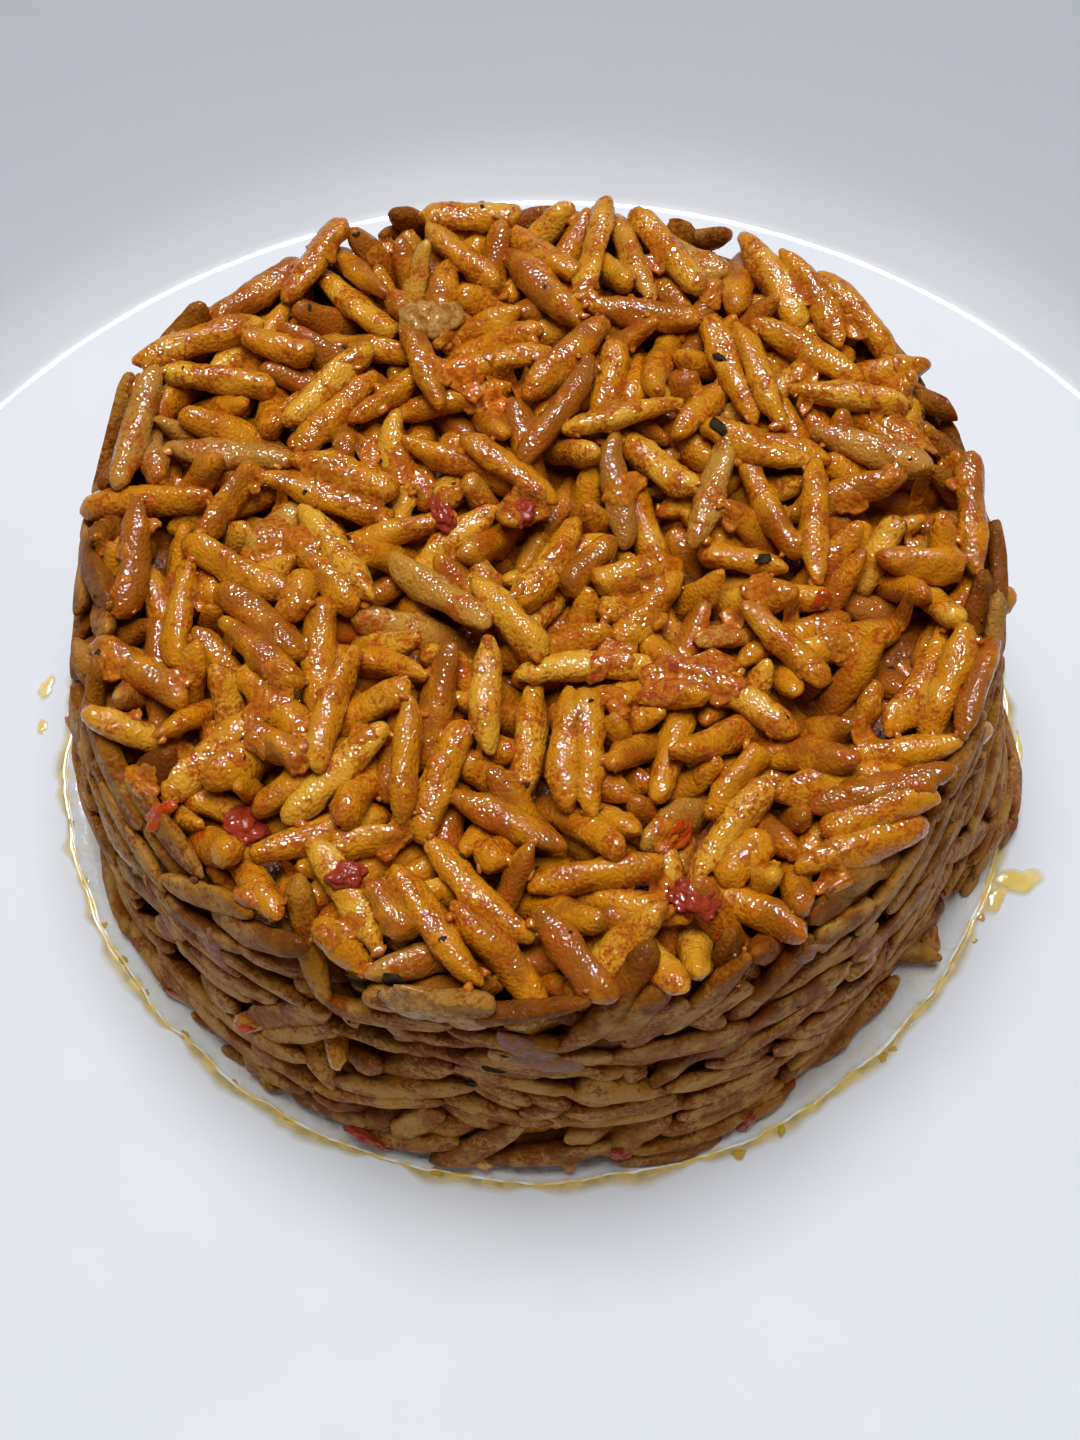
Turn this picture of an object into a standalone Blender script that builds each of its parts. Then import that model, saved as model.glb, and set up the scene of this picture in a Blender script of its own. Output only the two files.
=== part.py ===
"""A moulded portion of jollof rice standing in a deep white plate.

Two solids in one frame: the plate, turned about the vertical axis through its middle, and the rice,
a low tapered drum of packed grains that stands a little behind the middle of the plate's floor.
The origin is on the surface that the plate stands on, under the middle of the plate, with +Z up.
"""

import math

import bmesh
import bpy
import numpy as np

MM = 0.001

# Plate: the floor is flat out to the knee, where a tight curve turns it up into the wall.
FOOT_HEIGHT = 3.0 * MM
PLATE_WALL = 4.2 * MM
FLOOR_RADIUS = 69.0 * MM
KNEE_RADIUS = 10.0 * MM
KNEE_ANGLE = math.radians(34)
WALL_RADIUS = 120.0 * MM
WALL_ANGLE = math.radians(22)
FOOT_RADIUS = 60.0 * MM
FOOT_WIDTH = 4.0 * MM
FOOT_FILLET = 1.2 * MM
PLATE_STEPS = 64
KNEE_STEPS = 4
WALL_STEPS = 6
LIP_STEPS = 5
FILLET_STEPS = 2
FLOOR_HEIGHT = FOOT_HEIGHT + PLATE_WALL

# Rice: the drum that the mould leaves.
RICE_BASE_RADIUS = 42.6 * MM
RICE_TOP_RADIUS = 38.8 * MM
RICE_HEIGHT = 32.0 * MM
RICE_BACK = 9.0 * MM
RICE_GAP = 0.3 * MM
RIM_FILLET = 2.5 * MM
TOP_RINGS = 17
SIDE_ROWS = 13

# Grains: what the drum's surface is made of.
GRAIN_LENGTH = 10.5 * MM
GRAIN_WIDTH = 2.7 * MM
GRAIN_RELIEF = 1.7 * MM
GRAIN_COUNT = 380
RIDGE_HALF_WIDTH = 0.62 * GRAIN_WIDTH
SIDE_SLOPE = 0.45
TOP_SLOPE = 0.15
SEED = 7

# Unevenness of the whole drum: a few long waves, each shorter than the one before.
SWELL = 1.2 * MM
SWELL_WAVES = 6
SWELL_LENGTH = 34.0 * MM
SWELL_STEP = 3.0 * MM

# Edges that meet at more than this are drawn sharp.
SHARP_ANGLE = math.radians(40)

# Places where the foot of the drum leans out or has crumbled away:
# direction in degrees from +X, half width in degrees, reach outwards, height that it fades out at.
FOOT_LEANS = [
    (-13.0, 8.0, 4.0 * MM, 15.0 * MM),
    (-152.0, 9.0, 2.0 * MM, 8.0 * MM),
    (-96.0, 10.0, 2.2 * MM, 5.0 * MM),
    (-70.0, 7.0, 1.6 * MM, 5.0 * MM),
    (-45.0, 12.0, -3.6 * MM, 11.0 * MM),
    (64.0, 11.0, 1.8 * MM, 7.0 * MM),
    (150.0, 12.0, -2.0 * MM, 9.0 * MM),
]


class Turtle:
    """Walks an outline in the (radius, height) plane. A left turn is positive."""

    def __init__(self, radius, height, heading):
        self.radius = radius
        self.height = height
        self.heading = heading
        self.points = [(radius, height)]

    def line(self, length):
        self.radius += length * math.cos(self.heading)
        self.height += length * math.sin(self.heading)
        self.points.append((self.radius, self.height))

    def arc(self, radius, turn, steps):
        side = math.copysign(1.0, turn)
        centre_r = self.radius - side * radius * math.sin(self.heading)
        centre_h = self.height + side * radius * math.cos(self.heading)
        start = self.heading
        for step in range(1, steps + 1):
            self.heading = start + turn * step / steps
            self.radius = centre_r + side * radius * math.sin(self.heading)
            self.height = centre_h - side * radius * math.cos(self.heading)
            self.points.append((self.radius, self.height))


def plate_outline():
    """The plate's section, from the middle of the floor over the rim to the middle of the underside."""
    right_angle = math.pi / 2
    walk = Turtle(0.0, FLOOR_HEIGHT, 0.0)
    walk.line(FLOOR_RADIUS)
    walk.arc(KNEE_RADIUS, KNEE_ANGLE, KNEE_STEPS)
    walk.arc(WALL_RADIUS, WALL_ANGLE, WALL_STEPS)
    walk.arc(PLATE_WALL / 2, -math.pi, LIP_STEPS)
    walk.arc(WALL_RADIUS + PLATE_WALL, -WALL_ANGLE, WALL_STEPS)
    walk.arc(KNEE_RADIUS + PLATE_WALL, -KNEE_ANGLE, KNEE_STEPS)
    walk.line(walk.radius - FOOT_RADIUS - FOOT_FILLET)
    walk.arc(FOOT_FILLET, right_angle, FILLET_STEPS)
    walk.line(walk.height - FOOT_FILLET)
    walk.arc(FOOT_FILLET, -right_angle, FILLET_STEPS)
    walk.line(FOOT_WIDTH - 2 * FOOT_FILLET)
    walk.arc(FOOT_FILLET, -right_angle, FILLET_STEPS)
    walk.line(FOOT_HEIGHT - 2 * FOOT_FILLET)
    walk.arc(FOOT_FILLET, right_angle, FILLET_STEPS)
    walk.line(walk.radius)
    return walk.points


def rice_outline():
    """The drum's section as (radius, height, outward r, outward z), from the top's middle to the foot."""
    lean = math.atan2(RICE_BASE_RADIUS - RICE_TOP_RADIUS, RICE_HEIGHT)
    flat = RICE_TOP_RADIUS - RIM_FILLET
    rows = [(flat * ring / TOP_RINGS, RICE_HEIGHT, 0.0, 1.0) for ring in range(TOP_RINGS + 1)]
    side_out = (math.cos(lean), math.sin(lean))
    turn = math.pi / 2 - lean
    for angle in (turn / 2, turn):
        out = (math.sin(angle), math.cos(angle))
        radius = flat + RIM_FILLET * out[0]
        height = RICE_HEIGHT - RIM_FILLET * (1 - out[1])
        rows.append((radius, height, *out))
    start_radius, start_height = rows[-1][:2]
    for row in range(1, SIDE_ROWS + 1):
        share = row / SIDE_ROWS
        radius = start_radius + (RICE_BASE_RADIUS - start_radius) * share
        rows.append((radius, start_height * (1 - share), *side_out))
    return rows


def scattered_grains(random):
    """Grains lying on the drum, as the two ends of each one's axis."""
    top_share = RICE_TOP_RADIUS / (RICE_TOP_RADIUS + 2 * RICE_HEIGHT)
    starts, ends = [], []
    half = (GRAIN_LENGTH - GRAIN_WIDTH) / 2
    for _ in range(GRAIN_COUNT):
        turn = random.uniform(0, 2 * math.pi)
        if random.random() < top_share:
            radius = RICE_TOP_RADIUS * math.sqrt(random.random())
            middle = np.array((radius * math.cos(turn), radius * math.sin(turn), RICE_HEIGHT))
            facing = random.uniform(0, math.pi)
            along = np.array((math.cos(facing), math.sin(facing), random.normal(0, TOP_SLOPE)))
        else:
            height = RICE_HEIGHT * random.random()
            radius = RICE_BASE_RADIUS + (RICE_TOP_RADIUS - RICE_BASE_RADIUS) * height / RICE_HEIGHT
            middle = np.array((radius * math.cos(turn), radius * math.sin(turn), height))
            along = np.array((-math.sin(turn), math.cos(turn), random.normal(0, SIDE_SLOPE)))
        along *= half / np.linalg.norm(along)
        starts.append(middle - along)
        ends.append(middle + along)
    return np.array(starts), np.array(ends)


def relief(points, starts, ends):
    """How far the grains stand out at each point: a rounded ridge along every grain's axis."""
    along = ends - starts
    length2 = (along**2).sum(axis=1)
    offset = points[:, None] - starts[None]
    share = np.clip((offset * along[None]).sum(axis=2) / length2, 0, 1)
    gap2 = ((offset - share[:, :, None] * along[None]) ** 2).sum(axis=2)
    ridge = np.sqrt(np.clip(1 - gap2 / RIDGE_HALF_WIDTH**2, 0, 1))
    return ridge.max(axis=1) * GRAIN_RELIEF


def swell(points, random):
    """A slow unevenness: a few waves of random direction and phase, added up."""
    total = np.zeros(len(points))
    for wave in range(SWELL_WAVES):
        direction = random.normal(size=3)
        direction /= np.linalg.norm(direction)
        length = SWELL_LENGTH - SWELL_STEP * wave
        phase = random.uniform(0, 2 * math.pi)
        total += np.sin(points @ direction * 2 * math.pi / length + phase)
    return total / SWELL_WAVES * SWELL


def foot_lean(points):
    """How far the foot reaches out, by direction and height."""
    turn = np.degrees(np.arctan2(points[:, 1], points[:, 0]))
    total = np.zeros(len(points))
    for direction, half_width, reach, fade in FOOT_LEANS:
        off = (turn - direction + 180) % 360 - 180
        across = np.exp(-((off / half_width) ** 2))
        up = np.clip(1 - points[:, 2] / fade, 0, 1)
        total += reach * across * up
    return total


def stitch(mesh, inner, outer):
    """Joins two rings of vertices, which may differ in number, with triangles."""
    i = j = 0
    while i < len(inner) or j < len(outer):
        here, there = inner[i % len(inner)], outer[j % len(outer)]
        step_outer = len(inner) == 1 or (j + 1) * len(inner) <= (i + 1) * len(outer)
        if j < len(outer) and step_outer:
            j += 1
            mesh.faces.new((here, there, outer[j % len(outer)]))
        else:
            i += 1
            mesh.faces.new((here, there, inner[i % len(inner)]))
        if len(inner) == 1 and j == len(outer):
            break


def rice_mesh():
    random = np.random.default_rng(SEED)
    starts, ends = scattered_grains(random)
    rows = rice_outline()
    around = 6 * TOP_RINGS
    points, outs, counts = [], [], []
    for number, (radius, height, out_r, out_z) in enumerate(rows):
        count = min(around, max(1, 6 * number))
        for step in range(count):
            turn = 2 * math.pi * step / count
            cos, sin = math.cos(turn), math.sin(turn)
            points.append((radius * cos, radius * sin, height))
            outs.append((out_r * cos, out_r * sin, out_z))
        counts.append(count)
    points, outs = np.array(points), np.array(outs)
    side = np.hypot(outs[:, 0], outs[:, 1])
    push = relief(points, starts, ends) + swell(points, random) - GRAIN_RELIEF
    moved = points + outs * push[:, None]
    moved[:, :2] += outs[:, :2] * (foot_lean(points) * side)[:, None]
    moved[-around:, 2] = 0.0

    mesh = bmesh.new()
    vertices = [mesh.verts.new(point) for point in moved]
    rings, start = [], 0
    for count in counts:
        rings.append(vertices[start : start + count])
        start += count
    for inner, outer in zip(rings, rings[1:]):
        stitch(mesh, inner, outer)
    mesh.faces.new(rings[-1][::-1])
    bmesh.ops.recalc_face_normals(mesh, faces=mesh.faces)
    return mesh


def plate_mesh():
    """Spins the section about the vertical axis."""
    mesh = bmesh.new()
    path = [mesh.verts.new((radius, 0.0, height)) for radius, height in plate_outline()]
    edges = [mesh.edges.new(pair) for pair in zip(path, path[1:])]
    bmesh.ops.spin(
        mesh,
        geom=path + edges,
        cent=(0, 0, 0),
        axis=(0, 0, 1),
        angle=2 * math.pi,
        steps=PLATE_STEPS,
        use_merge=True,
    )
    bmesh.ops.remove_doubles(mesh, verts=mesh.verts, dist=0.01 * MM)
    bmesh.ops.recalc_face_normals(mesh, faces=mesh.faces)
    return mesh


def material(name, colour, roughness):
    made = bpy.data.materials.new(name)
    made.use_nodes = True
    shader = made.node_tree.nodes["Principled BSDF"]
    shader.inputs["Base Color"].default_value = (*colour, 1.0)
    shader.inputs["Roughness"].default_value = roughness
    shader.inputs["Metallic"].default_value = 0.0
    return made


def add_object(name, mesh, made_of, location):
    data = bpy.data.meshes.new(name)
    mesh.to_mesh(data)
    mesh.free()
    data.materials.append(made_of)
    data.shade_smooth()
    data.set_sharp_from_angle(angle=SHARP_ANGLE)
    made = bpy.data.objects.new(name, data)
    made.location = location
    bpy.context.scene.collection.objects.link(made)
    return made


def main():
    for old in list(bpy.data.objects):
        bpy.data.objects.remove(old)
    glaze = material("white_glaze", (0.80, 0.82, 0.85), 0.15)
    cooked = material("jollof", (0.42, 0.16, 0.03), 0.35)
    add_object("plate", plate_mesh(), glaze, (0, 0, 0))
    add_object("rice_mound", rice_mesh(), cooked, (0, RICE_BACK, FLOOR_HEIGHT + RICE_GAP))


main()
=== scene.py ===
"""The looks of a moulded portion of jollof rice on its plate, as a Blender add-on that is run as a script.

The frame gives the plate's and the drum's places. Grains are packed into the drum's outer shell until they
neither overlap nor leave it, and are then drawn one by one, with tomato paste where they touch. All lengths
are in metres.
"""

import math

import bmesh
import bpy
import numpy as np
from bpy.props import FloatProperty, FloatVectorProperty, IntProperty, PointerProperty
from mathutils import Matrix, Vector
from mathutils.bvhtree import BVHTree


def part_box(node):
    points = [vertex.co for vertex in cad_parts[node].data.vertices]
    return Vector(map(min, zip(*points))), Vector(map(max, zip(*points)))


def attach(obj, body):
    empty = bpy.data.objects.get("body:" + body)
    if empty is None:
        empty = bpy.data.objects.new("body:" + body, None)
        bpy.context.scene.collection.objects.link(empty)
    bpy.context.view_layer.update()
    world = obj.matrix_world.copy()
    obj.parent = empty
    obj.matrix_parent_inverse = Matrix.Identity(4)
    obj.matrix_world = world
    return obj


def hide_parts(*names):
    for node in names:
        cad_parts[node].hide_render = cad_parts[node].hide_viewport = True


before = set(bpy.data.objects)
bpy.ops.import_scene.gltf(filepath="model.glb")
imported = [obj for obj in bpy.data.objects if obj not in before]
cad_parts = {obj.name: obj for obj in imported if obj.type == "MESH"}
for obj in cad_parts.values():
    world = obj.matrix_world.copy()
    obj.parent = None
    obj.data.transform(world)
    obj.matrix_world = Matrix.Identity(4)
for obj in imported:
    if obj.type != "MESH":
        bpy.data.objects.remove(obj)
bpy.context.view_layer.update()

bl_info = {
    "name": "Jollof Rice on a Plate",
    "version": (1, 0, 0),
    "blender": (4, 5, 0),
    "location": "3D View > Sidebar > Jollof",
    "description": "Builds a moulded drum of jollof rice, its toppings, its oil and its plate",
    "category": "Add Mesh",
}

MM = 0.001
BODY = "root"
FULL_TURN = 2 * math.pi
UP = np.array((0.0, 0.0, 1.0))

# Grains whose middles are further apart than this many grain lengths can't touch.
OUT_OF_REACH = 1.15
# How deep under the surface each drawn layer of grains ends, on top and at the side.
TOP_LAYER = 2.3 * MM
UNDER_LAYER = 4.4 * MM
SIDE_LAYER = 3.4 * MM
# How far under the surface the heart lies.
HEART_DEPTH = 4.6 * MM


# ---------------------------------------------------------------- settings


def length_prop(name, description, default):
    return FloatProperty(name=name, description=description, default=default, unit="LENGTH", precision=5)


def angle_prop(name, description, degrees):
    return FloatProperty(name=name, description=description, default=math.radians(degrees), subtype="ANGLE")


def share_prop(name, description, default):
    limits = {"min": 0.0, "max": 1.0}
    return FloatProperty(name=name, description=description, default=default, subtype="FACTOR", **limits)


def power_prop(name, description, default):
    return FloatProperty(name=name, description=description, default=default, subtype="POWER")


def colour_prop(name, description, default):
    return FloatVectorProperty(
        name=name, description=description, default=default, size=3, min=0.0, max=1.0, subtype="COLOR"
    )


class PlateSettings(bpy.types.PropertyGroup):
    floor_radius: length_prop("Floor radius", "Where the floor would meet the wall with no knee", 72.06 * MM)
    knee_radius: length_prop("Knee radius", "Radius of the curve from the floor to the wall", 2.6 * MM)
    knee_angle: angle_prop("Knee angle", "How far the knee turns the wall up", 34)
    knee_rise: length_prop("Knee rise", "Straight stretch on either side of the knee", 3.06 * MM)
    wall_radius: length_prop("Wall radius", "Radius of the wall's section", 120 * MM)
    wall_angle: angle_prop("Wall angle", "How much further the wall turns up towards the rim", 22)
    thickness: length_prop("Thickness", "Thickness of the floor and wall", 4.2 * MM)
    foot_height: length_prop("Foot height", "How high the foot ring holds the floor", 3 * MM)
    foot_radius: length_prop("Foot radius", "Outer radius of the foot ring", 60 * MM)
    foot_width: length_prop("Foot width", "Width of the foot ring", 4 * MM)
    foot_fillet: length_prop("Foot fillet", "Rounding of the foot ring's edges", 1.2 * MM)
    glaze: colour_prop("Glaze", "Colour of the glaze", (0.79, 0.82, 0.87))
    bare: colour_prop("Glaze shade", "The glaze's faint darker cloud", (0.76, 0.79, 0.845))
    # Painted shade: the wall glaze is darker and bluer than the floor's, standing in for the shade the steep
    # wall gets from the lamps behind the plate.
    wall: colour_prop("Wall glaze", "The thinner, greyer glaze of the steep wall", (0.61, 0.64, 0.70))


class RiceSettings(bpy.types.PropertyGroup):
    seed: IntProperty(name="Seed", description="Seed of the random draws", default=11)
    count: IntProperty(name="Grains", description="Grains packed into the drum's shell", default=1400)
    shell: length_prop("Shell", "Depth of the shell that grains fill", 7.0 * MM)
    grain_length: length_prop("Grain length", "Length of a whole grain", 10.7 * MM)
    grain_width: length_prop("Grain width", "Width of a grain", 2.5 * MM)
    flatness: share_prop("Flatness", "A grain's thickness over its width", 0.86)
    bend: length_prop("Bend", "How far the middle of a grain bows", 0.38 * MM)
    broken: share_prop("Broken share", "Share of the grains that are broken", 0.14)
    missing: share_prop("Missing share", "Share of the topmost grains left out, which leaves dark gaps", 0.10)
    foot_missing: share_prop("Missing at the foot", "Share of the outer grains at the foot left out", 0.35)
    fillet: length_prop("Fillet", "Reach of the paste that bridges two grains", 0.38 * MM)
    brown: colour_prop("Brown", "Darkest grains on top", (0.33, 0.098, 0.004))
    golden: colour_prop("Golden", "Middling grains on top", (0.60, 0.225, 0.004))
    pale: colour_prop("Pale", "Palest grains on top", (0.72, 0.36, 0.028))
    grey: colour_prop("Grey", "Grains with little sauce on them", (0.43, 0.22, 0.04))
    # Partly painted shade: the side's colours are darker, duller copies of the top's, standing in for the
    # shade on the side that faces away from the lamps.
    side_brown: colour_prop("Side brown", "Darkest grains at the side", (0.14, 0.036, 0.002))
    side_tan: colour_prop("Side tan", "Middling grains at the side", (0.28, 0.094, 0.004))
    side_pale: colour_prop("Side pale", "Palest grains at the side", (0.40, 0.165, 0.010))
    paste: colour_prop("Paste", "Tomato paste on the grains", (0.40, 0.078, 0.002))
    # Partly painted shade: the side's paste is a darker copy of the top's paste.
    side_paste: colour_prop("Side paste", "Tomato paste at the side", (0.22, 0.050, 0.002))
    bloom: colour_prop("Bloom", "Pale starch where grains touched the mould", (0.45, 0.225, 0.050))
    # Partly painted shade: heart is a dark reddish paste colour, kept dark so that the deep gaps between
    # grains look shaded; grains are mixed towards it with depth.
    heart: colour_prop("Heart", "What shows deep between the grains", (0.31, 0.076, 0.004))
    press: share_prop("Press", "How much of what stands out past the mould's wall is left", 0.22)


class ToppingSettings(bpy.types.PropertyGroup):
    seed: IntProperty(name="Seed", description="Seed of the random draws", default=5)
    crumb_count: IntProperty(name="Crumbs", description="Crumbs of tomato paste between grains", default=2400)
    crumb_size: length_prop("Crumb size", "Usual radius of a crumb of paste", 0.3 * MM)
    film_count: IntProperty(name="Films", description="Films of tomato paste on the top grains", default=170)
    film_size: length_prop("Film size", "Usual radius of a film of paste", 1.1 * MM)
    film: colour_prop("Film", "Thin paste with oil in it", (0.58, 0.20, 0.008))
    red: colour_prop("Red", "Cooked tomato", (0.36, 0.045, 0.012))
    magenta: colour_prop("Dark red", "Sweet pepper that has kept its colour", (0.29, 0.028, 0.013))
    scarlet: colour_prop("Scarlet", "Glossy tomato skin", (0.55, 0.045, 0.006))
    orange: colour_prop("Orange", "Glossy pepper skin", (0.80, 0.22, 0.01))
    onion: colour_prop("Onion", "Soft onion", (0.50, 0.27, 0.07))
    mauve: colour_prop("Mauve", "Red onion pressed against the mould", (0.26, 0.14, 0.115))
    herb: colour_prop("Herb", "Dried herb", (0.022, 0.015, 0.007))
    speck_count: IntProperty(name="Specks", description="Small herb and pepper specks", default=70)


class OilSettings(bpy.types.PropertyGroup):
    seed: IntProperty(name="Seed", description="Seed of the random draws", default=3)
    ring_radius: length_prop("Ring radius", "Radius of the oil's edge on the plate", 43.9 * MM)
    ring_width: length_prop("Ring width", "Width of the bright bead at the oil's edge", 0.3 * MM)
    ring_height: length_prop("Ring height", "Height of the bead at the oil's edge", 0.2 * MM)
    skirt: length_prop("Skirt", "How far the thin yellow oil spreads outside the bead", 1.3 * MM)
    film: colour_prop("Film", "Thin oil over the white plate", (0.74, 0.755, 0.77))
    warm_film: colour_prop("Warm film", "Thin oil with a little colour in it", (0.74, 0.72, 0.66))
    yellow: colour_prop("Yellow", "Pooled oil", (0.86, 0.62, 0.14))
    pale_yellow: colour_prop("Pale yellow", "Pooled oil where it is thin", (0.88, 0.72, 0.30))
    mustard: colour_prop("Mustard", "Edge of the oil", (0.54, 0.38, 0.045))
    orange: colour_prop("Orange", "Oil with paste in it", (0.60, 0.34, 0.02))
    # Painted highlight: this near-white colour, blotched into the bead, stands in for the bright line the
    # lamps leave along the oil's edge.
    crest_highlight: colour_prop("Crest", "Top of the bead", (0.95, 0.95, 0.90))


class StageSettings(bpy.types.PropertyGroup):
    distance: length_prop("Camera distance", "From the camera to the point it looks at", 198.5 * MM)
    elevation: angle_prop("Camera elevation", "How steeply the camera looks down", 63.7)
    roll: angle_prop("Camera roll", "How far the camera is turned about its line of sight", -1.5)
    lens: FloatProperty(name="Lens", description="Focal length for a 36 mm sensor, in mm", default=52.5)
    soft_power: power_prop("Soft power", "Power of the wide lamp", 4.9)
    soft_height: length_prop("Soft height", "Height of the wide lamp overhead", 700 * MM)
    soft_back: length_prop("Soft setback", "How far behind the plate the wide lamp hangs", 115 * MM)
    soft_size: length_prop("Soft size", "Width of the wide lamp", 440 * MM)
    glint_power: power_prop("Glint power", "Power of the small lamp", 3.9)
    glint_height: length_prop("Glint height", "Height of the small lamp overhead", 600 * MM)
    glint_back: length_prop("Glint setback", "How far behind the plate the small lamp hangs", 270 * MM)
    glint_size: length_prop("Glint size", "Width of the small lamp", 90 * MM)
    sheen_power: power_prop("Sheen power", "Power of the middling lamp", 1.7)
    sheen_size: length_prop("Sheen size", "Width of the middling lamp", 200 * MM)
    sheen_back: length_prop("Sheen setback", "How far behind the plate the middling lamp hangs", 290 * MM)
    room: FloatProperty(name="Room light", description="Strength of the light from all round", default=0.08)
    room_colour: colour_prop("Room colour", "Colour of the light from all round", (0.93, 0.96, 1.0))
    floor_colour: colour_prop("Floor colour", "Colour of the floor", (0.78, 0.78, 0.77))


# ---------------------------------------------------------------- mesh helpers


def joined_mesh(name, points, quads, triangles):
    """A mesh from arrays: points (n, 3), quads (m, 4) and triangles (k, 3), shaded smooth."""
    mesh = bpy.data.meshes.new(name)
    points = np.asarray(points, np.float32)
    quads = np.asarray(quads, np.int32).reshape(-1, 4)
    triangles = np.asarray(triangles, np.int32).reshape(-1, 3)
    corners = np.concatenate((quads.ravel(), triangles.ravel()))
    starts = np.concatenate((np.arange(len(quads)) * 4, quads.size + np.arange(len(triangles)) * 3))
    totals = np.concatenate((np.full(len(quads), 4), np.full(len(triangles), 3)))
    mesh.vertices.add(len(points))
    mesh.vertices.foreach_set("co", points.ravel())
    mesh.loops.add(len(corners))
    mesh.loops.foreach_set("vertex_index", corners)
    mesh.polygons.add(len(starts))
    mesh.polygons.foreach_set("loop_start", starts.astype(np.int32))
    mesh.polygons.foreach_set("loop_total", totals.astype(np.int32))
    mesh.update(calc_edges=True)
    mesh.shade_smooth()
    return mesh


def circle(theta, radius, height=0.0):
    """Points round the vertical axis. Radius and height are each one number, or one for each direction."""
    return np.stack((radius * np.cos(theta), radius * np.sin(theta), height + 0 * theta), axis=1)


def round_cells(rows, steps):
    """The corners of each cell between rows of points that go once round: two on one row, two on the next."""
    row, step = np.meshgrid(np.arange(rows - 1), np.arange(steps), indexing="ij")
    row, step = row.ravel() * steps, step.ravel()
    after = (step + 1) % steps
    return row + step, row + after, row + steps + after, row + steps + step


def fan(tip, start, steps, turned=False):
    """Triangles from a tip to the row of points that begins at start. With turned they face the other way."""
    here = start + np.arange(steps)
    there = start + (np.arange(steps) + 1) % steps
    if turned:
        here, there = there, here
    return np.stack((np.full(steps, tip), here, there), axis=1)


def point_values(mesh, name, values):
    attribute = mesh.attributes.new(name, "FLOAT", "POINT")
    attribute.data.foreach_set("value", np.asarray(values, np.float32).ravel())


def add_piece(name, mesh, material, stands_for=None):
    """Puts a piece in the scene, riding on the one body."""
    piece = bpy.data.objects.new(name, mesh)
    mesh.materials.append(material)
    bpy.context.scene.collection.objects.link(piece)
    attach(piece, BODY)
    if stands_for:
        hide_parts(stands_for)
    return piece


def unit(vectors):
    return vectors / np.maximum(np.linalg.norm(vectors, axis=-1, keepdims=True), 1e-12)


def smoothstep(low, high, values):
    share = np.clip((values - low) / (high - low), 0, 1)
    return share * share * (3 - 2 * share)


def wavy(points, scale, seed):
    """Smooth noise from about -1 to 1 at each point, as a sum of waves of random direction."""
    random = np.random.default_rng(seed)
    total = np.zeros(len(points))
    for octave in range(3):
        for _ in range(5):
            direction = unit(random.normal(size=3))
            rate = FULL_TURN / (scale / 1.9**octave) * random.uniform(0.7, 1.4)
            total += np.sin(points @ direction * rate + random.uniform(0, FULL_TURN)) / 1.7**octave
    return total / 4.5


# ---------------------------------------------------------------- material helpers


class Recipe:
    """A material under way: a Principled shader and the nodes that feed it."""

    def __init__(self, name, **sockets):
        self.material = bpy.data.materials.new(name)
        self.material.use_nodes = True
        self.tree = self.material.node_tree
        self.shader = self.tree.nodes["Principled BSDF"]
        for socket, value in sockets.items():
            self.shader.inputs[socket.replace("_", " ")].default_value = value
        self.place = self.node("ShaderNodeTexCoord").outputs["Object"]

    def node(self, kind, **settings):
        made = self.tree.nodes.new(kind)
        for key, value in settings.items():
            setattr(made, key, value)
        return made

    def link(self, source, target):
        self.tree.links.new(source, target)

    def feed(self, source, socket):
        self.link(source, self.shader.inputs[socket])

    def noise(self, feature, detail=2.0, roughness=0.5):
        """Noise whose blotches are about as wide as feature."""
        made = self.node("ShaderNodeTexNoise")
        made.inputs["Scale"].default_value = 1 / feature
        made.inputs["Detail"].default_value = detail
        made.inputs["Roughness"].default_value = roughness
        self.link(self.place, made.inputs["Vector"])
        return made.outputs["Fac"]

    def value(self, name):
        return self.node("ShaderNodeAttribute", attribute_name=name).outputs["Fac"]

    def remap(self, source, low, high, to_low=0.0, to_high=1.0):
        made = self.node("ShaderNodeMapRange", interpolation_type="SMOOTHSTEP")
        for key, value in (("From Min", low), ("From Max", high), ("To Min", to_low), ("To Max", to_high)):
            made.inputs[key].default_value = value
        self.link(source, made.inputs["Value"])
        return made.outputs["Result"]

    def maths(self, operation, first, second):
        made = self.node("ShaderNodeMath", operation=operation)
        for socket, value in zip(made.inputs, (first, second)):
            if isinstance(value, (int, float)):
                socket.default_value = value
            else:
                self.link(value, socket)
        return made.outputs["Value"]

    def mix(self, share, first, second):
        """Blends two colours, each a socket or three numbers."""
        made = self.node("ShaderNodeMix", data_type="RGBA")
        self.link(share, made.inputs["Factor"])
        for socket, value in ((made.inputs[6], first), (made.inputs[7], second)):
            if hasattr(value, "is_linked"):
                self.link(value, socket)
            else:
                socket.default_value = (*value, 1.0)
        return made.outputs[2]

    def bump(self, height, depth, coated=False):
        """Roughens the surface, and with coated the film of oil on it too."""
        made = self.node("ShaderNodeBump")
        made.inputs["Distance"].default_value = depth
        self.link(height, made.inputs["Height"])
        self.feed(made.outputs["Normal"], "Normal")
        if coated:
            self.feed(made.outputs["Normal"], "Coat Normal")


def glaze_material(settings):
    recipe = Recipe("porcelain_glaze", Roughness=0.09, IOR=1.5, Coat_Weight=0.3, Coat_Roughness=0.03)
    cloud = recipe.remap(recipe.noise(28 * MM, 3), 0.35, 0.7)
    colour = recipe.mix(cloud, settings.glaze, settings.bare)
    # Painted shade: by the wall value, the glaze turns to the darker wall colour, in place of the wall's
    # shade.
    recipe.feed(recipe.mix(recipe.value("wall"), colour, settings.wall), "Base Color")
    recipe.feed(recipe.remap(recipe.noise(9 * MM, 4), 0.3, 0.7, 0.06, 0.14), "Roughness")
    recipe.bump(recipe.noise(14 * MM, 2), 0.02 * MM)
    return recipe.material


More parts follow.
